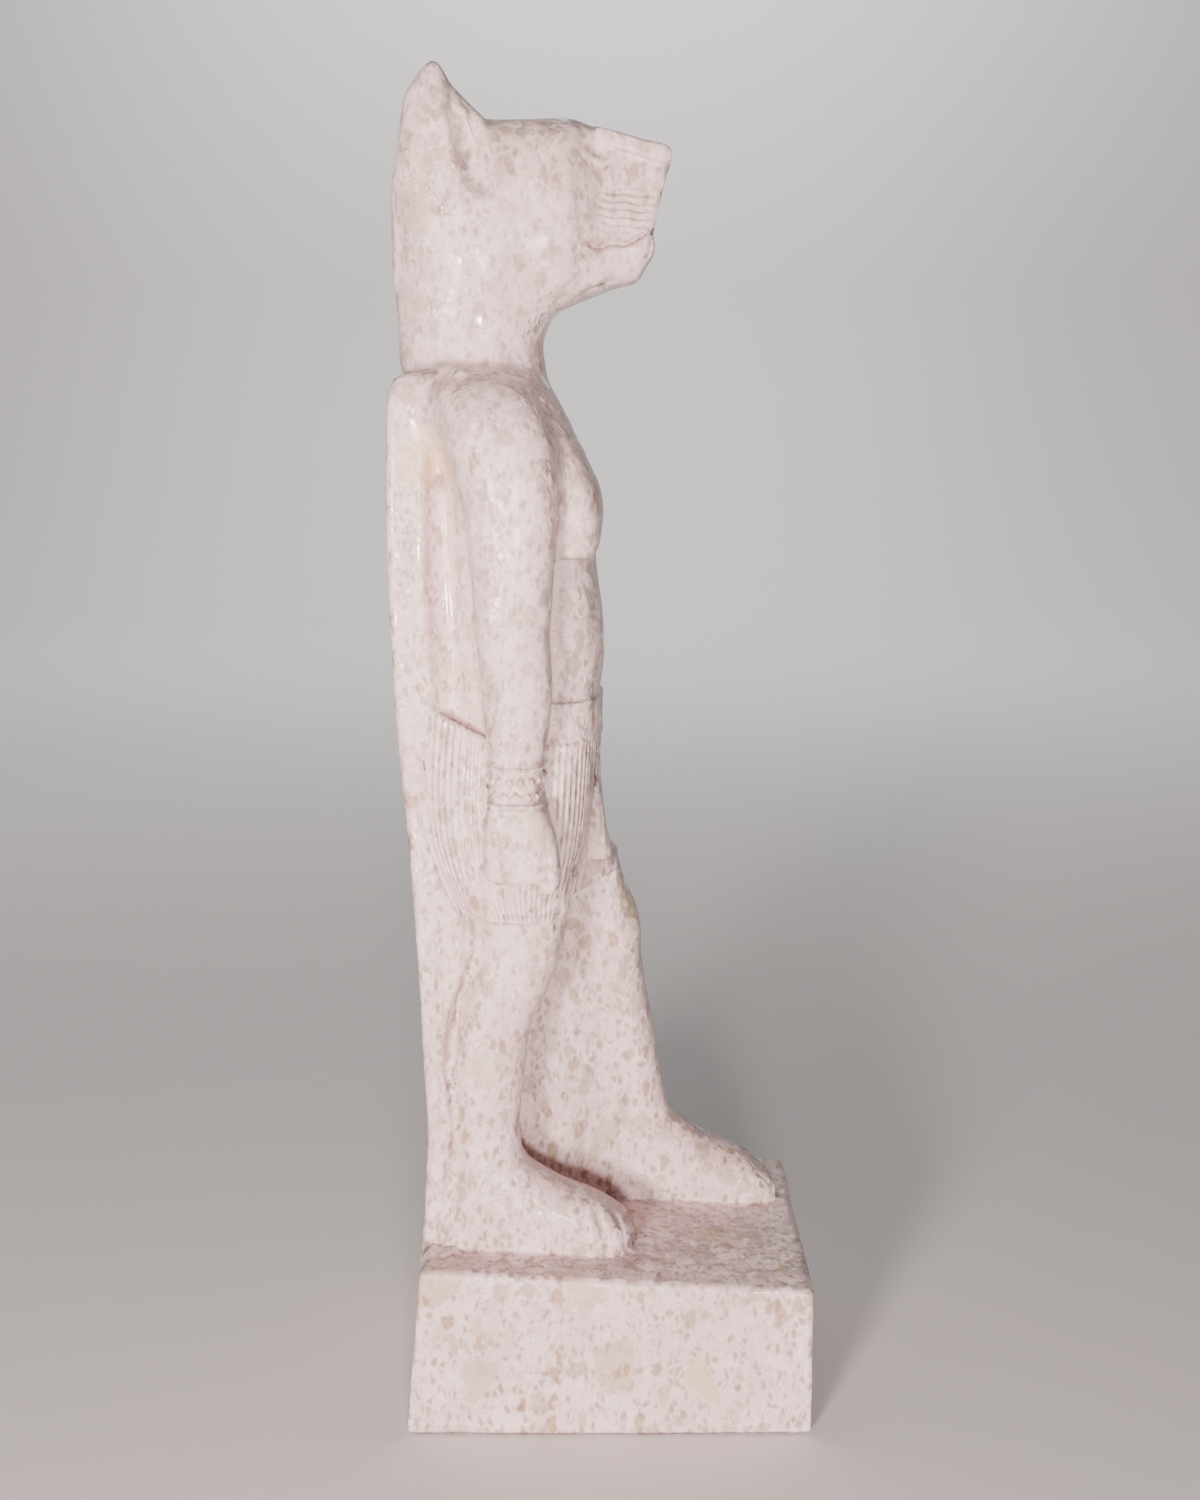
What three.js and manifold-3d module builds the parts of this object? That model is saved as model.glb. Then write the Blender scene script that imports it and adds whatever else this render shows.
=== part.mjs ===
// A cat-headed striding figure on a plinth, cast in one piece of white crushed stone.
// It stands against a back pillar, and a web of stone joins the pillar to the advanced left leg.
// Millimetres, +Z up. The figure faces -Y and its right side is -X.
import * as THREE from "three";
import { mergeVertices } from "three/addons/utils/BufferGeometryUtils.js";
import Module from "manifold-3d";

const wasm = await Module();
wasm.setup();

// Driving dimensions
const PLINTH_WIDTH = 58;
const PLINTH_LENGTH = 77.4; // along its underside
const PLINTH_FRONT_HEIGHT = 29.9;
const PLINTH_BACK_HEIGHT = 34.1;
const PLINTH_BACK_LEAN = 3.1; // how far the top back edge stands in from the bottom one
const PLINTH_EDGE = 1.4; // round of its upright and top edges
const PLINTH_FOOT_EDGE = 0.5; // round of the edges that it stands on
const PLINTH_AHEAD = 0.8; // how far the plinth's middle is ahead of the figure's
const FIGURE_HEIGHT = 220; // plinth top under the advanced foot, to the ear tips
const PILLAR_WIDTH = 32;
const PILLAR_THICKNESS = 8;
const PILLAR_TOP_ROUND = 4;
const PILLAR_FOOT_FLARE = 1.5; // how much each side spreads at the plinth
const WEB_THICKNESS = 8.6; // at its front
const PLEAT_WIDTH = 1.6;
const PLEAT_DEPTH = 0.4;
const BELT_RISE = 0.6; // the belt's face above the waist
const BRACELET_RISE = 0.1; // the bracelet's face above the wrist
const BRACELET_RIM = 0.35; // its two rims above the wrist
const BRACELET_RIM_HEIGHT = 1.3;
const TOE_GROOVE = 0.9;
const MOUTH_GROOVE = 0.9;
const SINK = 2; // how far a form runs on inside the one that it grows from

// The figure's proportions are written for this height, as (height, front, back, widths).
// Heights start at the plinth's top under the advanced foot, and fronts and backs are
// measured forward from the plinth's middle.
const WRITTEN_HEIGHT = 220;
const ADVANCED_FOOT_AT = 26; // its middle
const share = FIGURE_HEIGHT / WRITTEN_HEIGHT;
const plinthFront = PLINTH_LENGTH / 2 + PLINTH_AHEAD;

function plinthTopAt(forward) {
  const run = (plinthFront - forward) / PLINTH_LENGTH;
  return PLINTH_FRONT_HEIGHT + (PLINTH_BACK_HEIGHT - PLINTH_FRONT_HEIGHT) * run;
}

const ground = plinthTopAt(ADVANCED_FOOT_AT * share);

// A point of the figure. Across is measured from its middle line, and its left is positive.
function figurePoint(across, forward, height) {
  return [across * share, -forward * share, ground + height * share];
}

function mix(a, b, t) {
  return a + (b - a) * t;
}

function smoothStep(from, to, value) {
  const t = Math.min(1, Math.max(0, (value - from) / (to - from)));
  return t * t * (3 - 2 * t);
}

// A smooth curve through rows of numbers, read at a value of their first column.
function curveThrough(rows) {
  const slope = rows.map((row, i) => {
    const before = rows[Math.max(0, i - 1)];
    const after = rows[Math.min(rows.length - 1, i + 1)];
    return row.map((_, k) => (after[k] - before[k]) / (after[0] - before[0]));
  });
  return (at) => {
    let i = 0;
    while (i < rows.length - 2 && at > rows[i + 1][0]) i += 1;
    const span = rows[i + 1][0] - rows[i][0];
    const t = Math.min(1, Math.max(0, (at - rows[i][0]) / span));
    return rows[i].map((start, k) => {
      const end = rows[i + 1][k];
      const rise = slope[i][k] * span * t * (1 - t) * (1 - t);
      const fall = slope[i + 1][k] * span * t * t * (t - 1);
      return mix(start, end, t * t * (3 - 2 * t)) + rise + fall;
    });
  };
}

function evenSteps(from, to, count) {
  return Array.from({ length: count + 1 }, (_, i) => mix(from, to, i / count));
}

// One point of a unit superellipse: squareness 2 is a circle, and more is squarer.
function superellipse(angle, squareness) {
  const power = 2 / squareness;
  const c = Math.cos(angle);
  const s = Math.sin(angle);
  return [Math.sign(c) * Math.abs(c) ** power, Math.sign(s) * Math.abs(s) ** power];
}

function ringOf(sides, pointAt) {
  return Array.from({ length: sides }, (_, i) => pointAt((i / sides) * Math.PI * 2));
}

// A closed solid from a triangle list: shared corners are merged and its faces turned out.
function solidOf(triangles) {
  const geometry = new THREE.BufferGeometry();
  geometry.setAttribute("position", new THREE.Float32BufferAttribute(triangles.flat(2), 3));
  const merged = mergeVertices(geometry, 1e-4);
  const corners = merged.getAttribute("position").array;
  const index = Array.from(merged.index.array);
  const kept = [];
  const [a, b, c] = [new THREE.Vector3(), new THREE.Vector3(), new THREE.Vector3()];
  let volume = 0;
  for (let i = 0; i < index.length; i += 3) {
    const [p, q, r] = index.slice(i, i + 3);
    if (p === q || q === r || r === p) continue;
    kept.push([p, q, r]);
    a.fromArray(corners, 3 * p);
    b.fromArray(corners, 3 * q);
    c.fromArray(corners, 3 * r);
    volume += a.dot(b.cross(c));
  }
  const outward = kept.map(([p, q, r]) => (volume < 0 ? [p, r, q] : [p, q, r]));
  const triVerts = new Uint32Array(outward.flat());
  return new wasm.Manifold(new wasm.Mesh({ numProp: 3, vertProperties: corners, triVerts }));
}

function centreOf(ring) {
  const sum = ring.reduce((s, p) => [s[0] + p[0], s[1] + p[1], s[2] + p[2]], [0, 0, 0]);
  return sum.map((v) => v / ring.length);
}

// A skin over a row of closed rings with the same number of points, capped at both ends.
function loft(rings) {
  const triangles = [];
  const sides = rings[0].length;
  const first = centreOf(rings[0]);
  const last = centreOf(rings[rings.length - 1]);
  for (let j = 0; j < sides; j += 1) {
    const k = (j + 1) % sides;
    triangles.push([first, rings[0][k], rings[0][j]]);
    triangles.push([last, rings[rings.length - 1][j], rings[rings.length - 1][k]]);
    for (let i = 0; i + 1 < rings.length; i += 1) {
      const [lower, upper] = [rings[i], rings[i + 1]];
      triangles.push([lower[j], lower[k], upper[k]], [lower[j], upper[k], upper[j]]);
    }
  }
  return solidOf(triangles);
}

// An upright form. Rows: height, front, back, inner side, outer side. grow swells it.
// A form's side is +1 on the figure's left and -1 on its right, and is measured outward.
function upright(side, rows, { steps, sides = 16, squareness = 2.4, grow = 0, from, to }) {
  const at = curveThrough(rows);
  const bottom = from ?? rows[0][0];
  const top = to ?? rows[rows.length - 1][0];
  const rings = evenSteps(bottom, top, steps).map((height) => {
    const [, front, back, inner, outer] = at(height);
    return ringOf(sides, (angle) => {
      const [c, s] = superellipse(angle, squareness);
      const across = (inner + outer) / 2 + ((outer - inner) / 2 + grow) * c;
      const forward = (front + back) / 2 + ((front - back) / 2 + grow) * s;
      return figurePoint(side * across, forward, height);
    });
  });
  return loft(rings);
}

// The same on the middle line. Rows: height, front, back, half width.
function centralUpright(rows, options) {
  return upright(1, rows.map(([h, front, back, half]) => [h, front, back, -half, half]), options);
}

// A form that runs forward. Rows: forward, top, bottom, inner side, outer side.
// lean tips its sections back at the foot, as a share of their height below leanFrom.
// squareness gives the shape of the section at a place.
function forwardForm(side, rows, { steps, sides, squareness = () => 2.4, lean = () => 0, leanFrom = 0 }) {
  const at = curveThrough(rows);
  const rings = evenSteps(rows[0][0], rows[rows.length - 1][0], steps).map((place) => {
    const [, top, bottom, inner, outer] = at(place);
    return ringOf(sides, (angle) => {
      const [c, s] = superellipse(angle, squareness(place));
      const across = (inner + outer) / 2 + ((outer - inner) / 2) * c;
      const height = (top + bottom) / 2 + ((top - bottom) / 2) * s;
      const forward = place + lean(place) * (height - leanFrom);
      return figurePoint(side * across, forward, height);
    });
  });
  return loft(rings);
}

// An egg-shaped form, its long axis tipped forward at its foot by an angle.
function egg([across, forward, height], [wide, deep, tall], tip = 0) {
  const geometry = new THREE.SphereGeometry(share, 12, 8);
  geometry.scale(wide, deep, tall);
  geometry.rotateX(tip);
  geometry.translate(...figurePoint(across, forward, height));
  const places = geometry.toNonIndexed().getAttribute("position");
  const triangles = [];
  for (let i = 0; i < places.count; i += 3) {
    triangles.push([0, 1, 2].map((k) => [places.getX(i + k), places.getY(i + k), places.getZ(i + k)]));
  }
  return solidOf(triangles);
}

// A bar of diamond section between two figure points, to cut a V groove.
const NOT_ALONG = new THREE.Vector3(0.31, 0.17, 1); // a direction that no bar has

function grooveBar(from, to, width) {
  const start = new THREE.Vector3(...figurePoint(...from));
  const end = new THREE.Vector3(...figurePoint(...to));
  const along = end.clone().sub(start).normalize();
  const sideways = NOT_ALONG.clone().cross(along).normalize().multiplyScalar(width);
  const upward = along.clone().cross(sideways).normalize().multiplyScalar(width);
  const rings = [start, end].map((centre) =>
    [sideways, upward, sideways.clone().negate(), upward.clone().negate()].map((offset) =>
      centre.clone().add(offset).toArray(),
    ),
  );
  return loft(rings);
}

function joined(solids) {
  return solids.reduce((whole, solid) => whole.add(solid));
}

// Plinth: a block with a sloping top and a leaning back, all its edges rounded.
function plinth() {
  const bend = [0, Math.PI / 6, Math.PI / 3, Math.PI / 2];
  const bendOf = (edge) => bend.map((t) => [edge * (1 - Math.sin(t)), edge * (1 - Math.cos(t))]);
  const lower = bendOf(PLINTH_FOOT_EDGE).map(([inset, rise]) => [inset, rise, 0]);
  const upper = bendOf(PLINTH_EDGE).map(([inset, rise]) => [inset, -rise, 1]).reverse();
  const rings = [...lower, ...upper].map(([inset, rise, atTop]) => {
    const quarters = [
      [1, 1],
      [-1, 1],
      [-1, -1],
      [1, -1],
    ];
    return quarters.flatMap(([sideX, sideY], quarter) =>
      [0, 0.5, 1].map((part) => {
        const angle = ((quarter + part) * Math.PI) / 2;
        const x = sideX * (PLINTH_WIDTH / 2 - PLINTH_EDGE) + (PLINTH_EDGE - inset) * Math.cos(angle);
        const y = sideY * (PLINTH_LENGTH / 2 - PLINTH_EDGE) + (PLINTH_EDGE - inset) * Math.sin(angle);
        const forward = plinthFront - PLINTH_LENGTH / 2 - y;
        const z = atTop * plinthTopAt(forward) + rise;
        const lean = y > 0 ? (PLINTH_BACK_LEAN * z) / PLINTH_BACK_HEIGHT : 0;
        return [x, -forward - lean, z];
      }),
    );
  });
  return loft(rings);
}

// Back pillar: its back line bows outward behind the shoulders. Rows: height, back.
const PILLAR_BACK = [
  [-SINK, -36.3],
  [10, -35],
  [23, -34.5],
  [47, -35.2],
  [79, -36.8],
  [109, -38.9],
  [138, -39.7],
  [157, -39.3],
  [167.4, -38.3],
];
const PILLAR_FLARE_TOP = 20;
const PILLAR_SQUARENESS = 7;

function pillar() {
  const backAt = curveThrough(PILLAR_BACK);
  const top = PILLAR_BACK[PILLAR_BACK.length - 1][0];
  const round = PILLAR_TOP_ROUND / share;
  const heights = evenSteps(PILLAR_BACK[0][0], top - round, 8);
  const bend = evenSteps(0, Math.PI / 2, 4).slice(1).map((t) => top - round + round * Math.sin(t));
  const rings = [...heights, ...bend].map((height) => {
    const back = backAt(height)[1] * share;
    const over = Math.max(0, (height - top + round) / round);
    const drawnIn = PILLAR_TOP_ROUND * (1 - Math.sqrt(1 - over * over));
    const flare = PILLAR_FOOT_FLARE * smoothStep(PILLAR_FLARE_TOP, 0, height);
    const half = PILLAR_WIDTH / 2 + flare - drawnIn / 3;
    return ringOf(16, (angle) => {
      const [c, s] = superellipse(angle, PILLAR_SQUARENESS);
      const forward = back + drawnIn + ((PILLAR_THICKNESS - drawnIn) / 2) * (1 + s);
      return [half * c, -forward, ground + height * share];
    });
  });
  return loft(rings);
}

// Web: the stone left between the pillar, the standing leg and the advanced leg.
// Its left face is upright, and its right face spreads toward the standing leg.
const WEB_LEFT = 14;
const WEB_TOP = 74;
const WEB_FRONT = 2;
const WEB_MIDDLE = -15;
const WEB_BACK = -32;
const WEB_SPREAD = [7.4, 9.4]; // how much thicker it is at its middle and at its back

function web() {
  const right = WEB_LEFT - WEB_THICKNESS / share;
  const outline = [
    [WEB_LEFT, WEB_FRONT],
    [WEB_LEFT, WEB_BACK],
    [right - WEB_SPREAD[1], WEB_BACK],
    [right - WEB_SPREAD[0], WEB_MIDDLE],
    [right, WEB_FRONT],
  ];
  const rings = evenSteps(-SINK, WEB_TOP, 3).map((height) =>
    outline.map(([across, forward]) => figurePoint(across, forward, height)),
  );
  return loft(rings);
}

// The stone behind the legs, up to the pillar. Rows: height, front, back, half width.
const LEG_BACKING = [
  [-SINK, -20, -33, 15],
  [40, -20, -33, 14.6],
  [80, -20, -33, 15],
];

// Legs. Rows: height, front, back, inner side, outer side.
const STANDING_LEG = [
  [-SINK, -12, -32.5, 5.6, 19],
  [10, -13.2, -31.2, 5.4, 18.8],
  [16.6, -15.4, -30, 5.4, 18.4],
  [23, -16.3, -30.5, 5.4, 18.4],
  [31, -15.9, -30.7, 5, 18.8],
  [39, -15, -30.2, 4.6, 19.2],
  [46, -13.8, -28.9, 4.4, 19],
  [51, -11.5, -27.3, 4.2, 18.8],
  [56, -9.4, -26, 4, 18.9],
  [61, -7.9, -26.4, 3.8, 19.1],
  [66, -7.2, -27.4, 3.6, 19.3],
  [76, -5.5, -29, 3, 19],
];
const ADVANCED_LEG = [
  [-SINK, 17, -4, 5.6, 19],
  [10, 15, -3.4, 5.6, 19],
  [18.6, 13.4, -2.4, 5.4, 18.6],
  [25.7, 12.1, -2, 5.2, 18.8],
  [31, 11.2, -2.2, 5, 19],
  [38.3, 9.9, -2.8, 4.6, 19.4],
  [46, 8.6, -3, 4.4, 19.2],
  [52.3, 7.8, -4, 4.2, 19],
  [57.6, 7.5, -6.5, 4, 19],
  [62, 6.6, -10, 3.6, 19.2],
  [66, 5, -14, 3.2, 19.4],
  [70, 3.1, -18, 3, 19.4],
  [78, 0.6, -22, 3, 19],
];

// Feet. Rows: forward, top, bottom, inner side, outer side.
const STANDING_FOOT = [
  [-32.8, 4.5, -3, 8, 17],
  [-31.8, 9, -4, 6.2, 18.6],
  [-28, 15, -5, 5.6, 19.2],
  [-20, 19, -6, 5.4, 19.3],
  [-13.5, 17, -6, 5.4, 19.5],
  [-8.7, 14.2, -5, 5.2, 19.9],
  [-3, 11.6, -4, 5.2, 20.1],
  [1, 9.4, -4, 5.5, 19.6],
  [4, 7, -3, 6.1, 17.6],
  [5.4, 5, -2, 6.8, 14.6],
  [6.1, 3, -1, 8, 11],
];
const ADVANCED_FOOT = [
  [-4.4, 4.5, -3, 8, 17],
  [-3.5, 9, -4, 6.4, 18.6],
  [0, 15, -5, 5.8, 19],
  [8, 18, -6, 5.6, 19],
  [14, 17.4, -6, 5.5, 19.2],
  [20, 13.2, -5, 5.5, 19.5],
  [25.3, 10.4, -5, 5.5, 19.8],
  [28.9, 8.7, -4, 5.7, 19.4],
  [32.2, 6.3, -3, 6.2, 18],
  [34.5, 4.2, -3, 7, 15.6],
  [36, 2.2, -2, 8.6, 12.4],
];

// The height of a foot's top at a place.
function footTopAt(rows, forward, across) {
  const [, top, bottom, inner, outer] = curveThrough(rows)(forward);
  const off = Math.min(0.95, Math.abs(across - (inner + outer) / 2) / ((outer - inner) / 2));
  return (top + bottom) / 2 + ((top - bottom) / 2) * (1 - off ** 2.4) ** (1 / 2.4);
}

// Four grooves fan out over the toes, from their joints to their tips.
const TOE_JOINTS = { first: 8.8, pitch: 2.7 };
const TOE_NAILS = { first: 8.4, pitch: 2.9 };
const TOE_STEP = 1.3; // how far each toe stands behind its inner neighbour

function toeGrooves(side, rows, tip, length) {
  return [0, 1, 2, 3].map((toe) => {
    const end = tip - toe * TOE_STEP;
    const joint = [TOE_JOINTS.first + toe * TOE_JOINTS.pitch, end - length];
    const nail = [TOE_NAILS.first + toe * TOE_NAILS.pitch, end];
    const [from, to] = [joint, nail].map(([across, forward]) => [
      side * across,
      forward,
      footTopAt(rows, forward, across),
    ]);
    return grooveBar(from, to, TOE_GROOVE);
  });
}

// Trunk and neck, on the middle line. Rows: height, front, back, half width.
const TORSO = [
  [98, -1, -30.5, 17.2],
  [108.5, -0.8, -30.2, 17.2],
  [113.4, -0.2, -30, 16.8],
  [118.2, 0, -30, 16.5],
  [123.9, -0.4, -30, 16.4],
  [129.6, -1.2, -30, 16.8],
  [134.8, -1.7, -30, 17.4],
  [141, -2, -30, 18.2],
  [147, -2.2, -30.4, 19],
  [152, -3.4, -31.5, 20],
  [158.3, -6.2, -33.5, 20.4],
  [163.8, -9.1, -33.5, 18.6],
  [167, -11, -33.5, 15],
  [170, -13.5, -33.5, 10],
];
const NECK = [
  [160, -10.5, -35, 13.2],
  [166.5, -10.7, -37, 12.7],
  [169, -10.9, -37.9, 12.4],
  [172, -11.3, -38, 12.3],
  [177, -11, -38.1, 12.4],
  [184, -12, -38.3, 13.1],
  [191, -14, -38.3, 13.5],
  [198, -16, -38, 13.2],
  [204, -20, -36.7, 11],
  [208, -24, -33.5, 7],
];
// A breast muscle. Rows: height, front, back, inner side, outer side.
const BREAST = [
  [134.4, -2.1, -12, 0.6, 17],
  [136.2, -1, -12, 0.4, 17.2],
  [139.5, -0.4, -12, 0.2, 17.4],
  [143, -0.2, -12, 0, 17.6],
  [147, -1, -12, 0, 17.6],
  [152, -3.4, -13, 0, 17],
  [158, -7, -15, 1, 15],
];
// The stone between the arms and the pillar. Rows: height, front, back, half width.
const BACK_FILL = [
  [96, -18, -33.5, 13.4],
  [120, -18, -33.5, 12.6],
  [145, -18, -33.5, 12.4],
  [158, -20, -33.5, 12.8],
  [164, -22, -33.5, 12.8],
];
const BELT_HEIGHT = [101, 108.6];

// Kilt. Rows: height, front on the right, front on the left, back, half width.
const KILT = [
  [66, -7.4, 3.2, -27, 19.6],
  [68, -7.2, 3, -27.5, 19.8],
  [72, -6, 2.2, -30.5, 20.1],
  [78, -4, 0.8, -33.2, 20.4],
  [83.5, -2.8, -0.3, -35, 20.3],
  [91, -2, -1.2, -36, 19.7],
  [101, -1.4, -1.4, -35.4, 18.6],
  [109, -1.2, -1.2, -34.5, 17.6],
];

const KILT_TOP = 101;
const KILT_REAR_RISE = 6; // how much higher its top is at the pillar
const KILT_HEM = 67.8;
const KILT_THIGH_RISE = 5; // how much higher its hem is over the advanced thigh
const KILT_GIRTH_RADIUS = 18.5;
const KILT_SQUARENESS = 3.2;
const KILT_CLOSING = [7, -5]; // its front passes from one thigh to the other between these

// The kilt hangs in narrow pleats that draw together where it closes on the thighs.
// Its top edge rises toward the pillar, and its hem is higher over the advanced thigh.
function kilt() {
  const at = curveThrough(KILT);
  const girth = 2 * Math.PI * KILT_GIRTH_RADIUS * share;
  const columns = 2 * Math.round(girth / PLEAT_WIDTH);
  const rings = evenSteps(0, 1, 4).map((t) =>
    Array.from({ length: columns }, (_, i) => {
      const angle = (i / columns) * Math.PI * 2;
      const [c, s] = superellipse(angle, KILT_SQUARENESS);
      const rear = smoothStep(0.2, -0.9, s);
      const thigh = smoothStep(-0.4, 0.5, c) * smoothStep(-0.2, 0.9, s);
      const top = KILT_TOP + KILT_REAR_RISE * rear;
      const hem = KILT_HEM + KILT_THIGH_RISE * thigh;
      const height = mix(hem, top, t);
      const [, right, left, back, half] = at(height);
      const across = half * c;
      const front = mix(right, left, smoothStep(...KILT_CLOSING, -across));
      const sunk = i % 2 ? PLEAT_DEPTH / share : 0;
      const deep = (front - back) / 2 - sunk;
      return figurePoint((half - sunk) * c, (front + back) / 2 + deep * s, height);
    }),
  );
  return loft(rings);
}

// The kilt's middle tab, pleated lengthwise, narrows to its foot. Rows as the torso's.
const APRON = [
  [75.4, 1.5, -8, 3],
  [82, 0.6, -8, 4.2],
  [91, -0.5, -8, 5],
  [102, -0.9, -8, 5.4],
];
const APRON_SQUARENESS = 3.4;
const APRON_PLEATS = 14; // all round it

function apron() {
  const at = curveThrough(APRON);
  const rings = evenSteps(APRON[0][0], APRON[APRON.length - 1][0], 4).map((height) => {
    const [, front, back, half] = at(height);
    return ringOf(2 * APRON_PLEATS, (angle) => {
      const [c, s] = superellipse(angle, APRON_SQUARENESS);
      const sunk = Math.round((angle / Math.PI) * APRON_PLEATS) % 2 ? PLEAT_DEPTH / share : 0;
      const forward = (front + back) / 2 + ((front - back) / 2 - sunk) * s;
      return figurePoint(half * c, forward, height);
    });
  });
  return loft(rings);
}

// Arms. Rows: height, front, back, inner side, outer side.
const ARM = [
  [84, -11.3, -20.8, 16, 26],
  [91, -11.1, -20.9, 15.8, 26.3],
  [98, -10.9, -21, 15.4, 26.6],
  [104, -10, -21.5, 15, 27],
  [112, -9.2, -22.3, 14.6, 27.4],
  [121, -9.6, -23, 14.4, 27.4],
  [128.5, -9.1, -23.5, 14.2, 27.6],
  [135.4, -8.6, -24.1, 14, 27.9],
  [142.2, -8.3, -24.9, 13.6, 28],
  [150, -8.5, -26.4, 13, 28],
  [156, -9.6, -27.9, 12.4, 27.4],
  [160.5, -11.8, -28.6, 11.8, 25.8],
  [164.4, -15, -28, 11, 22.6],
  [166.6, -19, -25.5, 11, 17.5],
];
const BRACELET_HEIGHT = [90.8, 98.8];
const HAND = [
  [76.6, -11.6, -20, 18, 26],
  [77.8, -10.2, -21.6, 17, 27],
  [80.5, -9.8, -22.1, 16.6, 27.4],
  [86, -9.9, -22, 16.4, 27.5],
  [90, -10.3, -21.4, 16.4, 27.1],
  [91.6, -10.9, -21, 16.6, 26.6],
];
const THUMB = [
  [74.8, -9.6, -11.4, 22, 25],
  [76, -8.2, -12, 21, 26],
  [80, -7.8, -13, 20.6, 26.4],
  [85, -8.6, -13, 20.6, 26.2],
  [90, -10.4, -14, 21, 25.6],
];

function arm(side) {
  const [foot, top] = BRACELET_HEIGHT;
  const wrist = { sides: 14, squareness: 2.5 };
  const rim = BRACELET_RIM_HEIGHT / share;
  const grow = BRACELET_RIM / share;
  return joined([
    upright(side, ARM, { steps: 12, sides: 14, squareness: 2.5 }),
    upright(side, ARM, { ...wrist, steps: 2, from: foot, to: top, grow: BRACELET_RISE / share }),
    upright(side, ARM, { ...wrist, steps: 1, from: foot, to: foot + rim, grow }),
    upright(side, ARM, { ...wrist, steps: 1, from: top - rim, to: top, grow }),
    upright(side, HAND, { steps: 5, sides: 14, squareness: 4 }),
    upright(side, THUMB, { steps: 4, sides: 10, squareness: 2.4 }),
  ]);
}

// Head. Rows: forward, top, bottom, half width.
const SKULL = [
  [-36, 202, 184, 7],
  [-33, 207.6, 180, 9.6],
  [-28, 210.8, 177, 11.8],
  [-21, 211.7, 176, 13.1],
  [-13, 211.8, 177, 13.5],
  [-6.4, 211.8, 179.4, 12.9],
  [-4, 211.3, 180.2, 10.9],
  [-0.8, 210, 181, 8.7],
  [3, 208.5, 181.8, 7.6],
  [8, 207.4, 183.4, 7],
  [11, 206.8, 184.9, 6.5],
  [12, 206, 186.6, 5.4],
];
// The strip along the top of the muzzle, from the brow to the nose.
const NOSE_STRIP = [
  [-2, 210.4, 206.8, 5.6],
  [1, 209.4, 205.8, 7.7],
  [6, 208.1, 204.4, 7.8],
  [10.6, 207.2, 203.3, 7.3],
  [12.2, 206.6, 203.6, 6.4],
];
const MUZZLE_TOP = 206;
const MUZZLE_LEAN = 0.23; // how much its flat end leans back, as a share of the height
const muzzleLean = (forward) => MUZZLE_LEAN * smoothStep(-6, 9, forward);

function central(rows) {
  return rows.map(([place, top, bottom, half]) => [place, top, bottom, -half, half]);
}

// Ears. Rows: height, front, back, inner side, outer side.
const EAR = [
  [188, -18, -34, 4, 11],
  [199, -17.5, -37, 3, 12.9],
  [204, -18.6, -36.8, 3, 13.4],
  [210.3, -20.8, -35.9, 4, 13.2],
  [214.5, -24.4, -35, 5.2, 12.4],
  [217.3, -27.2, -33.2, 6.4, 11.5],
  [219.3, -28.6, -31.4, 7.6, 10.6],
  [220, -29.2, -30.4, 8.6, 9.6],
];

// Carved features of one side of the head. Places: across, forward, height.
const EAR_HOLLOW = { centre: [14.2, -24, 207.5], radii: [3.6, 2.6, 8.6], tip: -0.28 };
const EYE = { centre: [8.6, -1.9, 204.2], radii: [1.3, 1.7, 0.9] };
const LOWER_LIP = { centre: [0, 7, 188.3], radii: [5.6, 2.4, 2.9] };
const MOUTH = { corner: [7.2, -0.5, 189.9], front: [6.2, 10.5, 192.4], middle: [7, 9.6, 192.4] };

function mirrored([across, forward, height], side) {
  return [side * across, forward, height];
}

function head() {
  const lean = { lean: muzzleLean, leanFrom: MUZZLE_TOP };
  const squareFrom = (place) => mix(2.6, 3.6, smoothStep(-4, 4, place));
  const strip = { steps: 4, sides: 12, squareness: () => 5, ...lean };
  let whole = forwardForm(1, central(SKULL), { steps: 15, sides: 20, squareness: squareFrom, ...lean });
  whole = whole.add(forwardForm(1, central(NOSE_STRIP), strip));
  whole = whole.add(egg(LOWER_LIP.centre, LOWER_LIP.radii));
  for (const side of [-1, 1]) {
    const ear = upright(side, EAR, { steps: 8, sides: 14, squareness: 2.2 });
    const hollow = egg(mirrored(EAR_HOLLOW.centre, side), EAR_HOLLOW.radii, EAR_HOLLOW.tip);
    const eye = egg(mirrored(EYE.centre, side), EYE.radii);
    const corner = mirrored(MOUTH.corner, side);
    const mouth = grooveBar(corner, mirrored(MOUTH.front, side), MOUTH_GROOVE);
    whole = whole.add(ear).add(eye).subtract(hollow).subtract(mouth);
  }
  return whole.subtract(grooveBar(mirrored(MOUTH.middle, -1), MOUTH.middle, MOUTH_GROOVE));
}

function legs() {
  const standing = joined([
    upright(-1, STANDING_LEG, { steps: 10, sides: 14 }),
    forwardForm(-1, STANDING_FOOT, { steps: 12, sides: 14 }),
  ]);
  const advanced = joined([
    upright(1, ADVANCED_LEG, { steps: 11, sides: 14 }),
    forwardForm(1, ADVANCED_FOOT, { steps: 12, sides: 14 }),
  ]);
  const backing = centralUpright(LEG_BACKING, { steps: 3, sides: 12, squareness: 5 });
  const right = toeGrooves(-1, STANDING_FOOT, 5, 5.5);
  const left = toeGrooves(1, ADVANCED_FOOT, 34.6, 3);
  const pair = standing.add(advanced).add(backing);
  return [...right, ...left].reduce((whole, bar) => whole.subtract(bar), pair);
}

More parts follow.
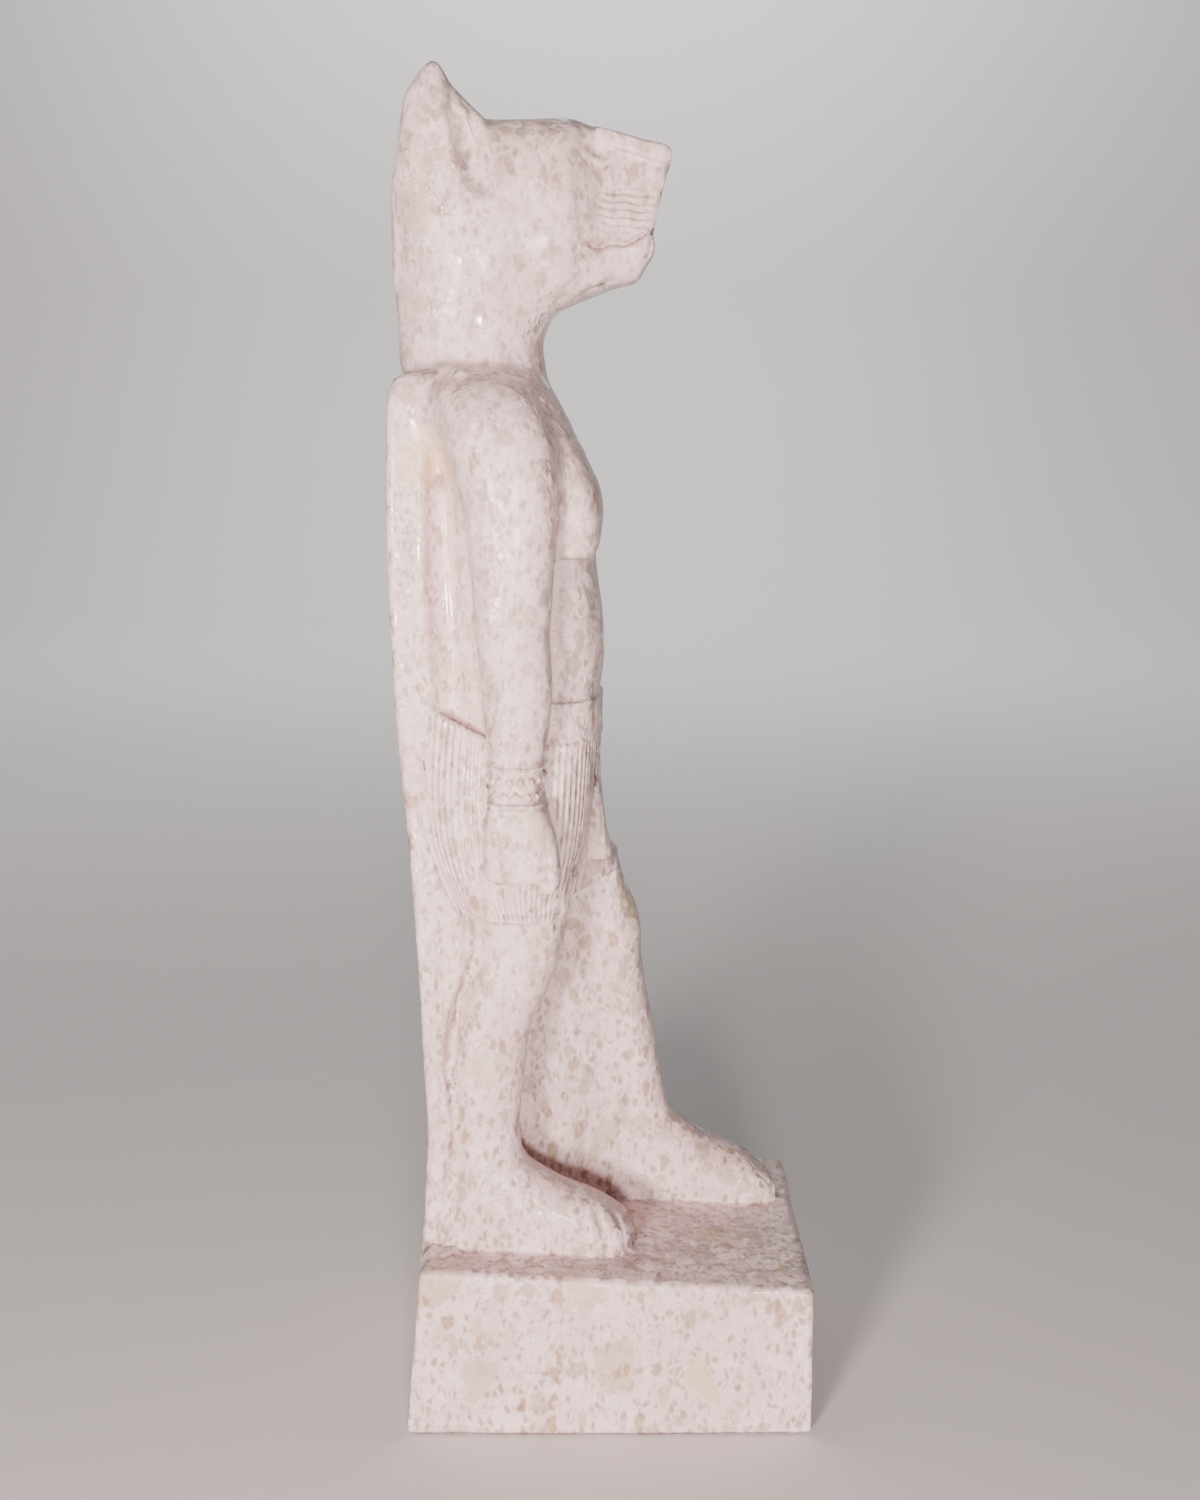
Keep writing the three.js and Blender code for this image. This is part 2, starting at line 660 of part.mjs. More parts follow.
function trunk() {
  const [foot, top] = BELT_HEIGHT;
  const belt = { steps: 2, sides: 24, squareness: 2.6, from: foot, to: top };
  return joined([
    centralUpright(TORSO, { steps: 13, sides: 24, squareness: 2.6 }),
    centralUpright(TORSO, { ...belt, grow: BELT_RISE / share }),
    centralUpright(BACK_FILL, { steps: 4, sides: 16, squareness: 4 }),
    upright(-1, BREAST, { steps: 6, sides: 14, squareness: 2.6 }),
    upright(1, BREAST, { steps: 6, sides: 14, squareness: 2.6 }),
    centralUpright(NECK, { steps: 7, sides: 16, squareness: 2.3 }),
  ]);
}

const statue = joined([
  plinth(),
  pillar(),
  web(),
  legs(),
  kilt(),
  apron(),
  trunk(),
  arm(-1),
  arm(1),
  head(),
]);

// The statue as one mesh, with the middle of its underside at the origin.
function meshOf(solid, name, material) {
  const { vertProperties, triVerts } = solid.getMesh();
  const geometry = new THREE.BufferGeometry();
  geometry.setAttribute("position", new THREE.BufferAttribute(vertProperties, 3));
  geometry.setIndex(new THREE.BufferAttribute(triVerts, 1));
  geometry.computeBoundingBox();
  const { min, max } = geometry.boundingBox;
  geometry.translate(-(min.x + max.x) / 2, -(min.y + max.y) / 2, -min.z);
  geometry.computeVertexNormals();
  const mesh = new THREE.Mesh(geometry, material);
  mesh.name = name;
  return mesh;
}

const stone = new THREE.MeshStandardMaterial({ color: 0xe4d6d2, roughness: 0.35, metalness: 0 });
const part = new THREE.Group();
part.add(meshOf(statue, "bastet_statue", stone));

export default part;
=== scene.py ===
"""A cat-headed striding figure on its plinth, cast in one piece of white crushed stone.

The statue is one closed skin. Its forms are the same as the solid's: upright and forward forms
of superellipse section, which are joined, drawn onto one smooth field so that each form runs into
the next with a small fillet, and carved. Figure units are millimetres: across to the figure's
left, forward, and height above the plinth's top under the advanced foot.
"""

import math

import bmesh
import bpy
import numpy as np
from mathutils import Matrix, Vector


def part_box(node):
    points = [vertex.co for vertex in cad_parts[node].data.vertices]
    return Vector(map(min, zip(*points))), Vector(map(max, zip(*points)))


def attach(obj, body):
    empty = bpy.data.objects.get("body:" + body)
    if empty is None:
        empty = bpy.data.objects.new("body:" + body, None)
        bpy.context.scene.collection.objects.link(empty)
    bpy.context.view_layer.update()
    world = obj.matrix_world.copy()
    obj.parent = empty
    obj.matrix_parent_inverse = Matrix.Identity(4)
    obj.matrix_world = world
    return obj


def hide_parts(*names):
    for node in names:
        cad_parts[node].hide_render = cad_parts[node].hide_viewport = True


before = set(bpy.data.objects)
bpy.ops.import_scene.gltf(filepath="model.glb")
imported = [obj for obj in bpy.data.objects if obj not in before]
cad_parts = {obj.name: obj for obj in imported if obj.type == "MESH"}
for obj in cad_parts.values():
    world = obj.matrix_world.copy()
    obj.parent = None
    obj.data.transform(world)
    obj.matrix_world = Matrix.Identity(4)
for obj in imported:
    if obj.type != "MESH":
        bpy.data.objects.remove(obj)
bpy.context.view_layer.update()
MM = 0.001

# Driving sizes, in millimetres
PLINTH_WIDTH = 58.0
PLINTH_LENGTH = 77.4
PLINTH_FRONT_HEIGHT = 29.9
PLINTH_BACK_HEIGHT = 34.1
PLINTH_BACK_LEAN = 3.1
PLINTH_EDGE = 1.4
PLINTH_FOOT_EDGE = 0.5
PLINTH_FRONT = PLINTH_LENGTH / 2 + 0.8
ADVANCED_FOOT_AT = 26.0
PLEATS = 92
PLEAT_DEPTH = 0.66
COLUMNS_PER_PLEAT = 6
BELT_RISE = 0.6
BRACELET_RISE = 0.05
MUZZLE_LEAN = 0.23
LEG_WEB_TOP = 74.0
KILT_TOP = 101.0
KILT_REAR_RISE = 6.0
KILT_HEM = 67.8
KILT_THIGH_RISE = 5.0

# Fillets: how near two forms come before they are rounded into one another, in millimetres
ANKLE_FILLET = 3.0
STRIDE_FILLET = 1.0
WEB_FILLET = 3.0
SPINE_FILLET = 2.0
BETWEEN_BREASTS_FILLET = 1.5
CHEST_FILLET = 1.2
BELT_FILLET = 0.9
PILLAR_FILLET = 4.5
TAB_FILLET = 0.6
KILT_FILLET = 1.2
WRIST_FILLET = 1.0
BRACELET_FILLET = 0.3
THUMB_FILLET = 0.5
FOREARM_FILLET = 0.25
SHOULDER_FILLET = 5.0
SHOULDER_BEGINS, SHOULDER_ENDS = 120, 160
JAW_FILLET = 5.0
EAR_FILLET = 2.5
NOSE_STRIP_FILLET = 0.6
COLLAR_FILLET = 1.2
HIP_FILLET = 1.2
PLINTH_FILLET = 0.8


def plinth_top_at(forward):
    """The plinth's sloping top: a straight line from the front height to the back height."""
    run = (PLINTH_FRONT - forward) / PLINTH_LENGTH
    return PLINTH_FRONT_HEIGHT + (PLINTH_BACK_HEIGHT - PLINTH_FRONT_HEIGHT) * run


GROUND = plinth_top_at(ADVANCED_FOOT_AT)
LOW = -3.0

# Back pillar. Rows: height, front, back, half width.
PILLAR = [
    (LOW, -27.8, -36.3, 17.5),
    (10, -27.6, -35.0, 16.7),
    (23, -27.6, -34.5, 16.0),
    (47, -27.4, -35.2, 16.0),
    (66, -27.0, -36.2, 16.0),
    (79, -28.4, -36.8, 16.0),
    (109, -30.8, -38.9, 16.0),
    (138, -31.5, -39.7, 16.0),
    (157, -31.0, -39.3, 16.0),
    (163.4, -30.4, -38.7, 15.8),
    (165.8, -29.6, -38.0, 15.2),
    (167.0, -28.6, -36.7, 14.2),
    (167.4, -28.0, -34.8, 12.6),
]

# Legs. Rows: height, front, back, inner side, outer side.
STANDING_LEG = [
    (LOW, -12, -32.5, 5.6, 19),
    (10, -13.2, -31.2, 5.4, 18.8),
    (16.6, -15.4, -30, 5.4, 18.4),
    (23, -16.3, -30.5, 5.4, 18.4),
    (31, -15.9, -30.7, 5, 18.8),
    (39, -15, -30.2, 4.6, 19.2),
    (46, -13.8, -28.9, 4.4, 19),
    (51, -11.5, -27.3, 4.2, 18.8),
    (56, -9.4, -26, 4, 18.9),
    (61, -7.9, -26.4, 3.8, 19.1),
    (66, -7.2, -27.4, 3.6, 19.3),
    (76, -5.5, -29, 3, 19),
]
ADVANCED_LEG = [
    (LOW, 17, -4, 5.6, 19),
    (10, 15, -3.4, 5.6, 19),
    (18.6, 13.4, -2.4, 5.4, 18.6),
    (25.7, 12.1, -2, 5.2, 18.8),
    (31, 11.2, -2.2, 5, 19),
    (38.3, 9.9, -2.8, 4.6, 19.4),
    (46, 8.6, -3, 4.4, 19.2),
    (52.3, 7.8, -4, 4.2, 19),
    (57.6, 7.5, -6.5, 4, 19),
    (62, 6.6, -10, 3.6, 19.2),
    (66, 5, -14, 3.2, 19.4),
    (70, 3.1, -18, 3, 19.4),
    (78, 0.6, -22, 3, 19),
]

# Feet. Rows: forward, top, bottom, inner side, outer side.
STANDING_FOOT = [
    (-32.8, 4.5, -3, 8, 17),
    (-31.8, 9, -4, 6.2, 18.6),
    (-28, 15, -5, 5.6, 19.2),
    (-20, 19, -6, 5.4, 19.3),
    (-13.5, 17, -6, 5.4, 19.5),
    (-8.7, 14.2, -5, 5.2, 19.9),
    (-3, 11.6, -4, 5.2, 20.1),
    (1, 9.4, -4, 5.5, 19.6),
    (4, 7, -3, 6.1, 17.6),
    (5.4, 5, -2, 6.8, 14.6),
    (6.1, 3, -1, 8, 11),
]
ADVANCED_FOOT = [
    (-4.4, 4.5, -3, 8, 17),
    (-3.5, 9, -4, 6.4, 18.6),
    (0, 15, -5, 5.8, 19),
    (8, 18, -6, 5.6, 19),
    (14, 17.4, -6, 5.5, 19.2),
    (20, 13.2, -5, 5.5, 19.5),
    (25.3, 10.4, -5, 5.5, 19.8),
    (28.9, 8.7, -4, 5.7, 19.4),
    (32.2, 6.3, -3, 6.2, 18),
    (34.5, 4.2, -3, 7, 15.6),
    (36, 2.2, -2, 8.6, 12.4),
]

# Trunk and neck. Rows: height, front, back, half width.
TORSO = [
    (98, -1, -30.5, 17.2),
    (108.5, -0.8, -30.2, 17.2),
    (113.4, -0.2, -30, 16.8),
    (118.2, 0, -30, 16.5),
    (123.9, -0.4, -30, 16.4),
    (129.6, -1.2, -30, 16.8),
    (134.8, -1.7, -30, 17.4),
    (141, -2, -30, 18.2),
    (147, -2.2, -30.4, 19),
    (152, -3.4, -31.5, 20),
    (158.3, -6.2, -33.5, 20.4),
    (163.8, -9.1, -33.5, 18.6),
    (167, -11, -33.5, 15),
    (170, -13.5, -33.5, 10),
]
BACK_FILL = [
    (96, -18, -33.5, 13.4),
    (120, -18, -33.5, 12.6),
    (145, -18, -33.5, 12.4),
    (158, -20, -33.5, 12.6),
    (164, -22, -33.5, 12.6),
]
# Stone behind the legs, from their backs to the pillar. Rows: height, front, back, half width.
LEG_BACKING = [
    (LOW, -20, -33, 15),
    (40, -20, -33, 14.6),
    (80, -20, -33, 15),
]
NECK = [
    (160, -10.5, -35, 13.2),
    (166.5, -10.7, -37, 12.7),
    (169, -10.9, -37.9, 12.4),
    (172, -11.3, -38, 12.3),
    (177, -11, -38.1, 12.4),
    (184, -12, -38.3, 13.1),
    (191, -14, -38.3, 13.5),
    (198, -16, -38, 13.2),
    (204, -20, -36.7, 11),
    (208, -24, -33.5, 7),
]
# A breast muscle. Rows: height, front, back, inner side, outer side.
BREAST = [
    (134.4, -2.1, -12, 0.6, 17),
    (136.2, -1, -12, 0.4, 17.2),
    (139.5, -0.4, -12, 0.2, 17.4),
    (143, -0.2, -12, 0, 17.6),
    (147, -1, -12, 0, 17.6),
    (152, -3.4, -13, 0, 17),
    (158, -7, -15, 1, 15),
]
BELT_HEIGHT = (101.0, 108.6)
BELT_REACH = 16.0

# Kilt. Rows: height, front on the right, front on the left, back, half width.
KILT = [
    (66, -7.4, 3.2, -27, 19.6),
    (68, -7.2, 3, -27.5, 19.8),
    (72, -6, 2.2, -30.5, 20.1),
    (78, -4, 0.8, -33.2, 20.4),
    (83.5, -2.8, -0.3, -35, 20.3),
    (91, -2, -1.2, -36, 19.7),
    (101, -1.4, -1.4, -35.4, 18.6),
    (109, -1.2, -1.2, -34.5, 17.6),
]
KILT_SQUARENESS = 3.2
KILT_SECTION = (19.6, 16.5)
# The kilt's middle tab. Rows: height, front, back, half width.
APRON = [
    (75.4, 1.5, -8, 3),
    (82, 0.6, -8, 4.2),
    (91, -0.5, -8, 5),
    (102, -0.9, -8, 5.4),
]

# Arms. Rows: height, front, back, inner side, outer side.
ARM = [
    (84, -11.3, -20.8, 16, 26),
    (91, -11.1, -20.9, 15.8, 26.3),
    (98, -10.9, -21, 15.4, 26.6),
    (104, -10, -21.5, 15, 27),
    (112, -9.2, -22.3, 14.6, 27.4),
    (121, -9.6, -23, 14.4, 27.4),
    (128.5, -9.1, -23.5, 14.2, 27.6),
    (135.4, -8.6, -24.1, 14, 27.9),
    (142.2, -8.3, -24.9, 13.6, 28),
    (150, -8.5, -26.4, 13, 28),
    (156, -9.6, -27.9, 12.4, 27.4),
    (160.5, -11.8, -28.6, 11.8, 25.8),
    (164.4, -15, -28, 11, 22.6),
    (166.6, -19, -25.5, 11, 17.5),
]
BRACELET_HEIGHT = (90.8, 98.8)
HAND = [
    (76.6, -11.6, -20, 18, 26),
    (77.8, -10.2, -21.6, 17, 27),
    (80.5, -9.8, -22.1, 16.6, 27.4),
    (86, -9.9, -22, 16.4, 27.5),
    (90, -10.3, -21.4, 16.4, 27.1),
    (91.6, -10.9, -21, 16.6, 26.6),
]
THUMB = [
    (74.8, -9.6, -11.4, 22, 25),
    (76, -8.2, -12, 21, 26),
    (80, -7.8, -13, 20.6, 26.4),
    (85, -8.6, -13, 20.6, 26.2),
    (90, -10.4, -14, 21, 25.6),
]

# Head. Rows: forward, top, bottom, half width.
SKULL = [
    (-36, 202, 184, 7),
    (-33, 207.6, 180, 9.6),
    (-28, 210.8, 177, 11.8),
    (-21, 211.7, 176, 13.1),
    (-13, 211.8, 177, 13.5),
    (-6.4, 211.8, 179.4, 12.9),
    (-4.0, 211.3, 180.2, 10.9),
    (-0.8, 210, 181, 8.7),
    (3, 208.5, 181.8, 7.6),
    (8, 207.4, 182.9, 7),
    (11, 206.8, 184.0, 6.6),
    (12, 206, 185.8, 5.6),
]
NOSE_STRIP = [
    (-2, 210.4, 206.8, 5.6),
    (1, 209.4, 205.8, 7.7),
    (6, 208.1, 204.4, 7.8),
    (10.6, 207.2, 203.3, 7.3),
    (12.2, 206.6, 203.6, 6.4),
]
MUZZLE_TOP = 206.0
FRONT_CROWDING = 0.55
END_CROWDING = 0.7
# Ears. Rows: height, front, back, inner side, outer side.
EAR = [
    (188, -18, -34, 4, 11),
    (199, -17.5, -37, 3, 12.9),
    (204, -18.6, -36.8, 3, 13.4),
    (210.3, -20.8, -35.9, 4, 13.2),
    (214.5, -24.4, -35, 5.2, 12.4),
    (217.3, -27.2, -33.2, 6.4, 11.5),
    (219.3, -28.6, -31.4, 7.6, 10.6),
    (220, -29.2, -30.4, 8.6, 9.6),
]


def smooth_step(low, high, value):
    """0 below low and 1 above high, with the cubic 3t^2 - 2t^3 between them."""
    t = np.clip((value - low) / (high - low), 0, 1)
    return t * t * (3 - 2 * t)


def window(start, full, fade, end, value):
    """1 between full and fade, falling as smooth steps to 0 at the start and at the end."""
    return smooth_step(start, full, value) * smooth_step(end, fade, value)


def bump(centre, reach, value):
    """1 at the centre, falling as a smooth step to 0 at a reach on either side."""
    return 1 - smooth_step(0, reach, np.abs(value - centre))


def crowded(share):
    """Shares from 0 to 1 drawn toward both ends, by a part of (1 - cos(pi t)) / 2."""
    return (1 - END_CROWDING) * share + END_CROWDING * (1 - np.cos(np.pi * share)) / 2


def curve_through(rows, at):
    """A cubic Hermite curve through rows, read at many values of their first column at once."""
    table = np.array(rows, float)
    places = table[:, 0]
    before = table[np.maximum(np.arange(len(table)) - 1, 0)]
    after = table[np.minimum(np.arange(len(table)) + 1, len(table) - 1)]
    slope = (after - before) / (after[:, :1] - before[:, :1])
    at = np.clip(np.asarray(at, float), places[0], places[-1])
    i = np.clip(np.searchsorted(places, at) - 1, 0, len(table) - 2)
    span = (places[i + 1] - places[i])[..., None]
    t = (at[..., None] - table[i, :1]) / span
    ease = t * t * (3 - 2 * t)
    start, end = table[i], table[i + 1]
    rise = slope[i] * span * t * (1 - t) ** 2
    fall = slope[i + 1] * span * t * t * (t - 1)
    return np.moveaxis((start + (end - start) * ease + rise + fall)[..., 1:], -1, 0)


def superellipse(angle, squareness):
    """Unit superellipse: |cos|^(2/n) and |sin|^(2/n) with their signs. 2 is a circle."""
    power = 2 / squareness
    c, s = np.cos(angle), np.sin(angle)
    return np.sign(c) * np.abs(c) ** power, np.sign(s) * np.abs(s) ** power


def even_angles(squareness, sides, wide=1.0, deep=1.0):
    """Angles that part a superellipse into equal lengths, and every angle's share of its length."""
    fine = np.linspace(0, 2 * np.pi, 40001)
    c, s = superellipse(fine, squareness)
    lengths = np.hypot(np.diff(wide * c), np.diff(deep * s))
    share = np.concatenate([[0], np.cumsum(lengths)]) / lengths.sum()
    return np.interp(np.linspace(0, 1, sides, endpoint=False), share, fine), fine, share


def section_distance(u, v, half_u, half_v, squareness):
    """How far a point is outside a superellipse: (r - 1) over the length of r's gradient."""
    a, b = np.abs(u) / half_u + 1e-6, np.abs(v) / half_v + 1e-6
    radius = (a**squareness + b**squareness) ** (1 / squareness)
    along_u = (a / radius) ** (squareness - 1) / half_u
    along_v = (b / radius) ** (squareness - 1) / half_v
    return (radius - 1) / np.hypot(along_u, along_v)


def blended(first, second, reach):
    """The smaller of two distances, rounded where they are within reach of each other."""
    share = np.maximum(reach - np.abs(first - second), 0) / reach
    return np.minimum(first, second) - share * share * reach / 4


class Upright:
    """A form whose level sections are superellipses, on one side of the figure or on its middle."""

    def __init__(self, rows, side=1, squareness=2.4, grow=0.0, low=None, high=None):
        if len(rows[0]) == 4:
            rows = [(h, front, back, -half, half) for h, front, back, half in rows]
        self.rows, self.side, self.squareness, self.grow = rows, side, squareness, grow
        self.low = rows[0][0] if low is None else low
        self.high = rows[-1][0] if high is None else high

    def distance(self, across, forward, height):
        """The section's distance at the point's height, and past the ends the way to them."""
        front, back, inner, outer = curve_through(self.rows, height)
        beside = section_distance(
            self.side * across - (inner + outer) / 2,
            forward - (front + back) / 2,
            (outer - inner) / 2 + self.grow,
            (front - back) / 2 + self.grow,
            self.squareness,
        )
        return np.maximum(beside, np.maximum(height - self.high, self.low - height))

    def rings(self, sides, steps):
        """Rings at even heights, each a superellipse through the rows' widths there."""
        height = np.linspace(self.low, self.high, steps + 1)[:, None]
        angle = even_angles(self.squareness, sides)[0][None, :]
        front, back, inner, outer = curve_through(self.rows, height)
        c, s = superellipse(angle, self.squareness)
        across = (inner + outer) / 2 + ((outer - inner) / 2 + self.grow) * c
        forward = (front + back) / 2 + ((front - back) / 2 + self.grow) * s
        return np.stack([self.side * across, forward, height + 0 * across], axis=-1)


class Belt(Upright):
    """The belt, which shows from the arms forward and is worn away behind them."""

    def distance(self, across, forward, height):
        """The upright form's distance, ended behind the arms' middle."""
        return np.maximum(super().distance(across, forward, height), -BELT_REACH - forward)


def muzzle_lean(forward):
    """The muzzle's sections tip back at the foot, more toward the nose."""
    return MUZZLE_LEAN * smooth_step(-6, 9, forward)


def foot_squareness(place):
    """The feet's sections are nearly elliptical."""
    return 2.4 + 0 * place


def no_lean(forward):
    """Sections that stand upright."""
    return 0 * forward


class Forward:
    """A form that runs forward, with superellipse sections across it."""

    def __init__(self, rows, side=1, squareness=foot_squareness, lean=no_lean, crowding=(1, 1)):
        if len(rows[0]) == 4:
            rows = [(place, top, bottom, -half, half) for place, top, bottom, half in rows]
        self.rows, self.side, self.squareness, self.lean = rows, side, squareness, lean
        self.crowding = crowding

    def distance(self, across, forward, height):
        """The section's distance at the place whose leaning section holds the point."""
        place = forward
        for _ in range(3):
            place = forward - self.lean(place) * (height - MUZZLE_TOP)
        top, bottom, inner, outer = curve_through(self.rows, place)
        beside = section_distance(
            self.side * across - (inner + outer) / 2,
            height - (top + bottom) / 2,
            (outer - inner) / 2,
            (top - bottom) / 2,
            self.squareness(place),
        )
        ends = np.maximum(place - self.rows[-1][0], self.rows[0][0] - place)
        return np.maximum(beside, ends)

    def rings(self, sides, steps):
        """Leaning rings from the form's back to its front, closer together toward the front."""
        share = np.linspace(0, 1, steps + 1)[:, None]
        share = share + FRONT_CROWDING * np.sin(np.pi * share) / np.pi
        place = self.rows[0][0] + (self.rows[-1][0] - self.rows[0][0]) * share
        angle = even_angles(self.squareness(place).mean(), sides, *self.crowding)[0][None, :]
        top, bottom, inner, outer = curve_through(self.rows, place)
        c, s = superellipse(angle, self.squareness(place))
        across = (inner + outer) / 2 + (outer - inner) / 2 * c
        height = (top + bottom) / 2 + (top - bottom) / 2 * s
        forward = place + self.lean(place) * (height - MUZZLE_TOP)
        return np.stack([self.side * across, forward, height], axis=-1)


class Plinth:
    """The block: flat sides, a sloping top and a leaning back, with rounded edges."""

    @staticmethod
    def squared(across, forward, height):
        """The point in the block's own upright box, with the top's slope and back's lean undone."""
        z = height + GROUND
        top = plinth_top_at(forward)
        lean = PLINTH_BACK_LEAN * z / PLINTH_BACK_HEIGHT
        middle = PLINTH_FRONT - PLINTH_LENGTH / 2
        behind = smooth_step(0, -0.9 * PLINTH_LENGTH / 2, forward - middle)
        return across, forward - middle - lean * behind, z - top / 2, top / 2

    def distance(self, across, forward, height):
        """A rounded box: the length of what sticks out past the box drawn in by its edge."""
        x, y, z, half = self.squared(across, forward, height)
        edge = np.where(z < 0, PLINTH_FOOT_EDGE, PLINTH_EDGE)
        out = [np.abs(x) - PLINTH_WIDTH / 2, np.abs(y) - PLINTH_LENGTH / 2, np.abs(z) - half]
        q = np.stack(out) + edge
        outside = np.sqrt((np.maximum(q, 0) ** 2).sum(axis=0))
        return outside + np.minimum(q.max(axis=0), 0) - edge

    def rings(self, sides, steps):
        """Rings of a rounded rectangle up the sides, and drawn in over the top and underside."""
        share = crowded(np.linspace(0, 1, steps + 1))
        inward = np.linspace(0.06, 1, steps) ** 0.7
        level = np.concatenate([0 * inward, share, 1 + 0 * inward])[:, None]
        size = np.concatenate([inward, 1 + 0 * share, inward[::-1]])[:, None]
        around = np.linspace(0, 4, sides, endpoint=False)
        around = np.floor(around) + crowded(around % 1)
        corners = np.array([(1, 1), (-1, 1), (-1, -1), (1, -1), (1, 1)], float)
        x = np.interp(around, np.arange(5), corners[:, 0]) * PLINTH_WIDTH / 2
        y = np.interp(around, np.arange(5), corners[:, 1]) * PLINTH_LENGTH / 2
        across, flat = size * x, size * y
        middle = PLINTH_FRONT - PLINTH_LENGTH / 2
        top = plinth_top_at(flat + middle)
        z = level * top
        behind = smooth_step(0, -0.9 * PLINTH_LENGTH / 2, flat)
        forward = flat + middle + PLINTH_BACK_LEAN * z / PLINTH_BACK_HEIGHT * behind
        return np.stack([across, forward, z - GROUND], axis=-1)


class Web:
    """The stone between the pillar and the legs: upright faces through plan points, clockwise."""

    OUTLINE = np.array([(14, 2), (14, -32), (-4, -32), (-2, -15), (5.4, 2)], float)
    HIGH = LEG_WEB_TOP

    def distance(self, across, forward, height):
        """The greatest distance past any face of the plan's convex outline."""
        far = np.maximum(height - self.HIGH, LOW - height)
        for start, end in zip(self.OUTLINE, np.roll(self.OUTLINE, -1, axis=0)):
            run = (end - start) / np.hypot(*(end - start))
            past = (forward - start[1]) * run[0] - (across - start[0]) * run[1]
            far = np.maximum(far, past)
        return far

    def rings(self, sides, steps):
        """The outline with even points along each side, repeated at even heights."""
        closed = np.vstack([self.OUTLINE, self.OUTLINE[:1]])
        lengths = np.hypot(*np.diff(closed, axis=0).T)
        marks = np.concatenate([[0], np.cumsum(lengths)])
        around = np.linspace(0, marks[-1], sides, endpoint=False)
        x, y = (np.interp(around, marks, closed[:, k]) for k in (0, 1))
        height = np.linspace(LOW, self.HIGH, steps + 1)[:, None]
        return np.stack([x + 0 * height, y + 0 * height, height + 0 * x], axis=-1)


class Kilt:
    """The kilt: its front stands further forward over the left thigh than over the right."""

    @staticmethod
    def section(across, height):
        """The section's front, back and half width, with the two fronts eased into one another."""
        right, left, back, half = curve_through(KILT, height)
        front = right + (left - right) * smooth_step(-7, 5, across)
        return front, back, half

    @staticmethod
    def edges(c, s):
        """Top and hem at a place round the kilt: the top rises behind, the hem at the left thigh."""
        top = KILT_TOP + KILT_REAR_RISE * smooth_step(-0.2, 0.9, -s)
        thigh = smooth_step(-0.4, 0.5, c) * smooth_step(-0.2, 0.9, s)
        return top, KILT_HEM + KILT_THIGH_RISE * thigh

    def distance(self, across, forward, height):
        """The section's distance, ended at the top and at the hem."""
        front, back, half = self.section(across, height)
        u, v = across, forward - (front + back) / 2
        beside = section_distance(u, v, half, (front - back) / 2, KILT_SQUARENESS)
        top, hem = self.edges(u / half, v / ((front - back) / 2))
        return np.maximum(beside, np.maximum(height - top, hem - height))

    def rings(self, sides, steps):
        """Rings from the hem to the top, each column running from its own hem to its own top."""
        angle = even_angles(KILT_SQUARENESS, sides, *KILT_SECTION)[0][None, :]
        share = np.linspace(0, 1, steps + 1)[:, None]
        c, s = superellipse(angle, KILT_SQUARENESS)
        top, hem = self.edges(c, s)
        height = hem + (top - hem) * share
        half = curve_through(KILT, height)[3]
        across = half * c
        front, back, half = self.section(across, height)
        forward = (front + back) / 2 + (front - back) / 2 * s
        return np.stack([across, forward, height], axis=-1)


def skull_squareness(place):
    """Rounder at the skull, squarer along the muzzle."""
    return 2.6 + smooth_step(-4, 4, place)


def strip_squareness(place):
    """The nose strip has a nearly rectangular section."""
    return 5 + 0 * place


SIDES = (-1, 1)
BACK_PILLAR = Upright(PILLAR, squareness=8)
BLOCK = Plinth()
LEG_WEB = Web()
LEGS = [Upright(STANDING_LEG, -1), Upright(ADVANCED_LEG, 1)]
FEET = [Forward(STANDING_FOOT, -1), Forward(ADVANCED_FOOT, 1)]
KILT_SKIRT = Kilt()
TAB = Upright(APRON, squareness=3.4)
TRUNK = Upright(TORSO, squareness=2.6)
BELT = Belt(TORSO, squareness=2.6, grow=BELT_RISE, low=BELT_HEIGHT[0], high=BELT_HEIGHT[1])
SPINE = Upright(BACK_FILL, squareness=4)
BACKING = Upright(LEG_BACKING, squareness=5)
THROAT = Upright(NECK, squareness=2.3)
BREASTS = [Upright(BREAST, side, 2.6) for side in SIDES]
ARMS = [Upright(ARM, side, 2.5) for side in SIDES]
BRACELETS = [
    Upright(ARM, side, 2.5, BRACELET_RISE, BRACELET_HEIGHT[0], BRACELET_HEIGHT[1]) for side in SIDES
]
HANDS = [Upright(HAND, side, 4) for side in SIDES]
THUMBS = [Upright(THUMB, side, 2.4) for side in SIDES]
CRANIUM = Forward(SKULL, 1, skull_squareness, muzzle_lean, crowding=(0.6, 1.4))
STRIP = Forward(NOSE_STRIP, 1, strip_squareness, muzzle_lean)
EARS = [Upright(EAR, side, 2.2) for side in SIDES]


def lower_body(p):
    """The legs and feet, the web between them and the stone behind them."""
    legs = [blended(leg.distance(*p), foot.distance(*p), ANKLE_FILLET) for leg, foot in zip(LEGS, FEET)]
    lower = blended(*legs, STRIDE_FILLET)
    lower = blended(lower, LEG_WEB.distance(*p), WEB_FILLET)
    return blended(lower, BACKING.distance(*p), WEB_FILLET)


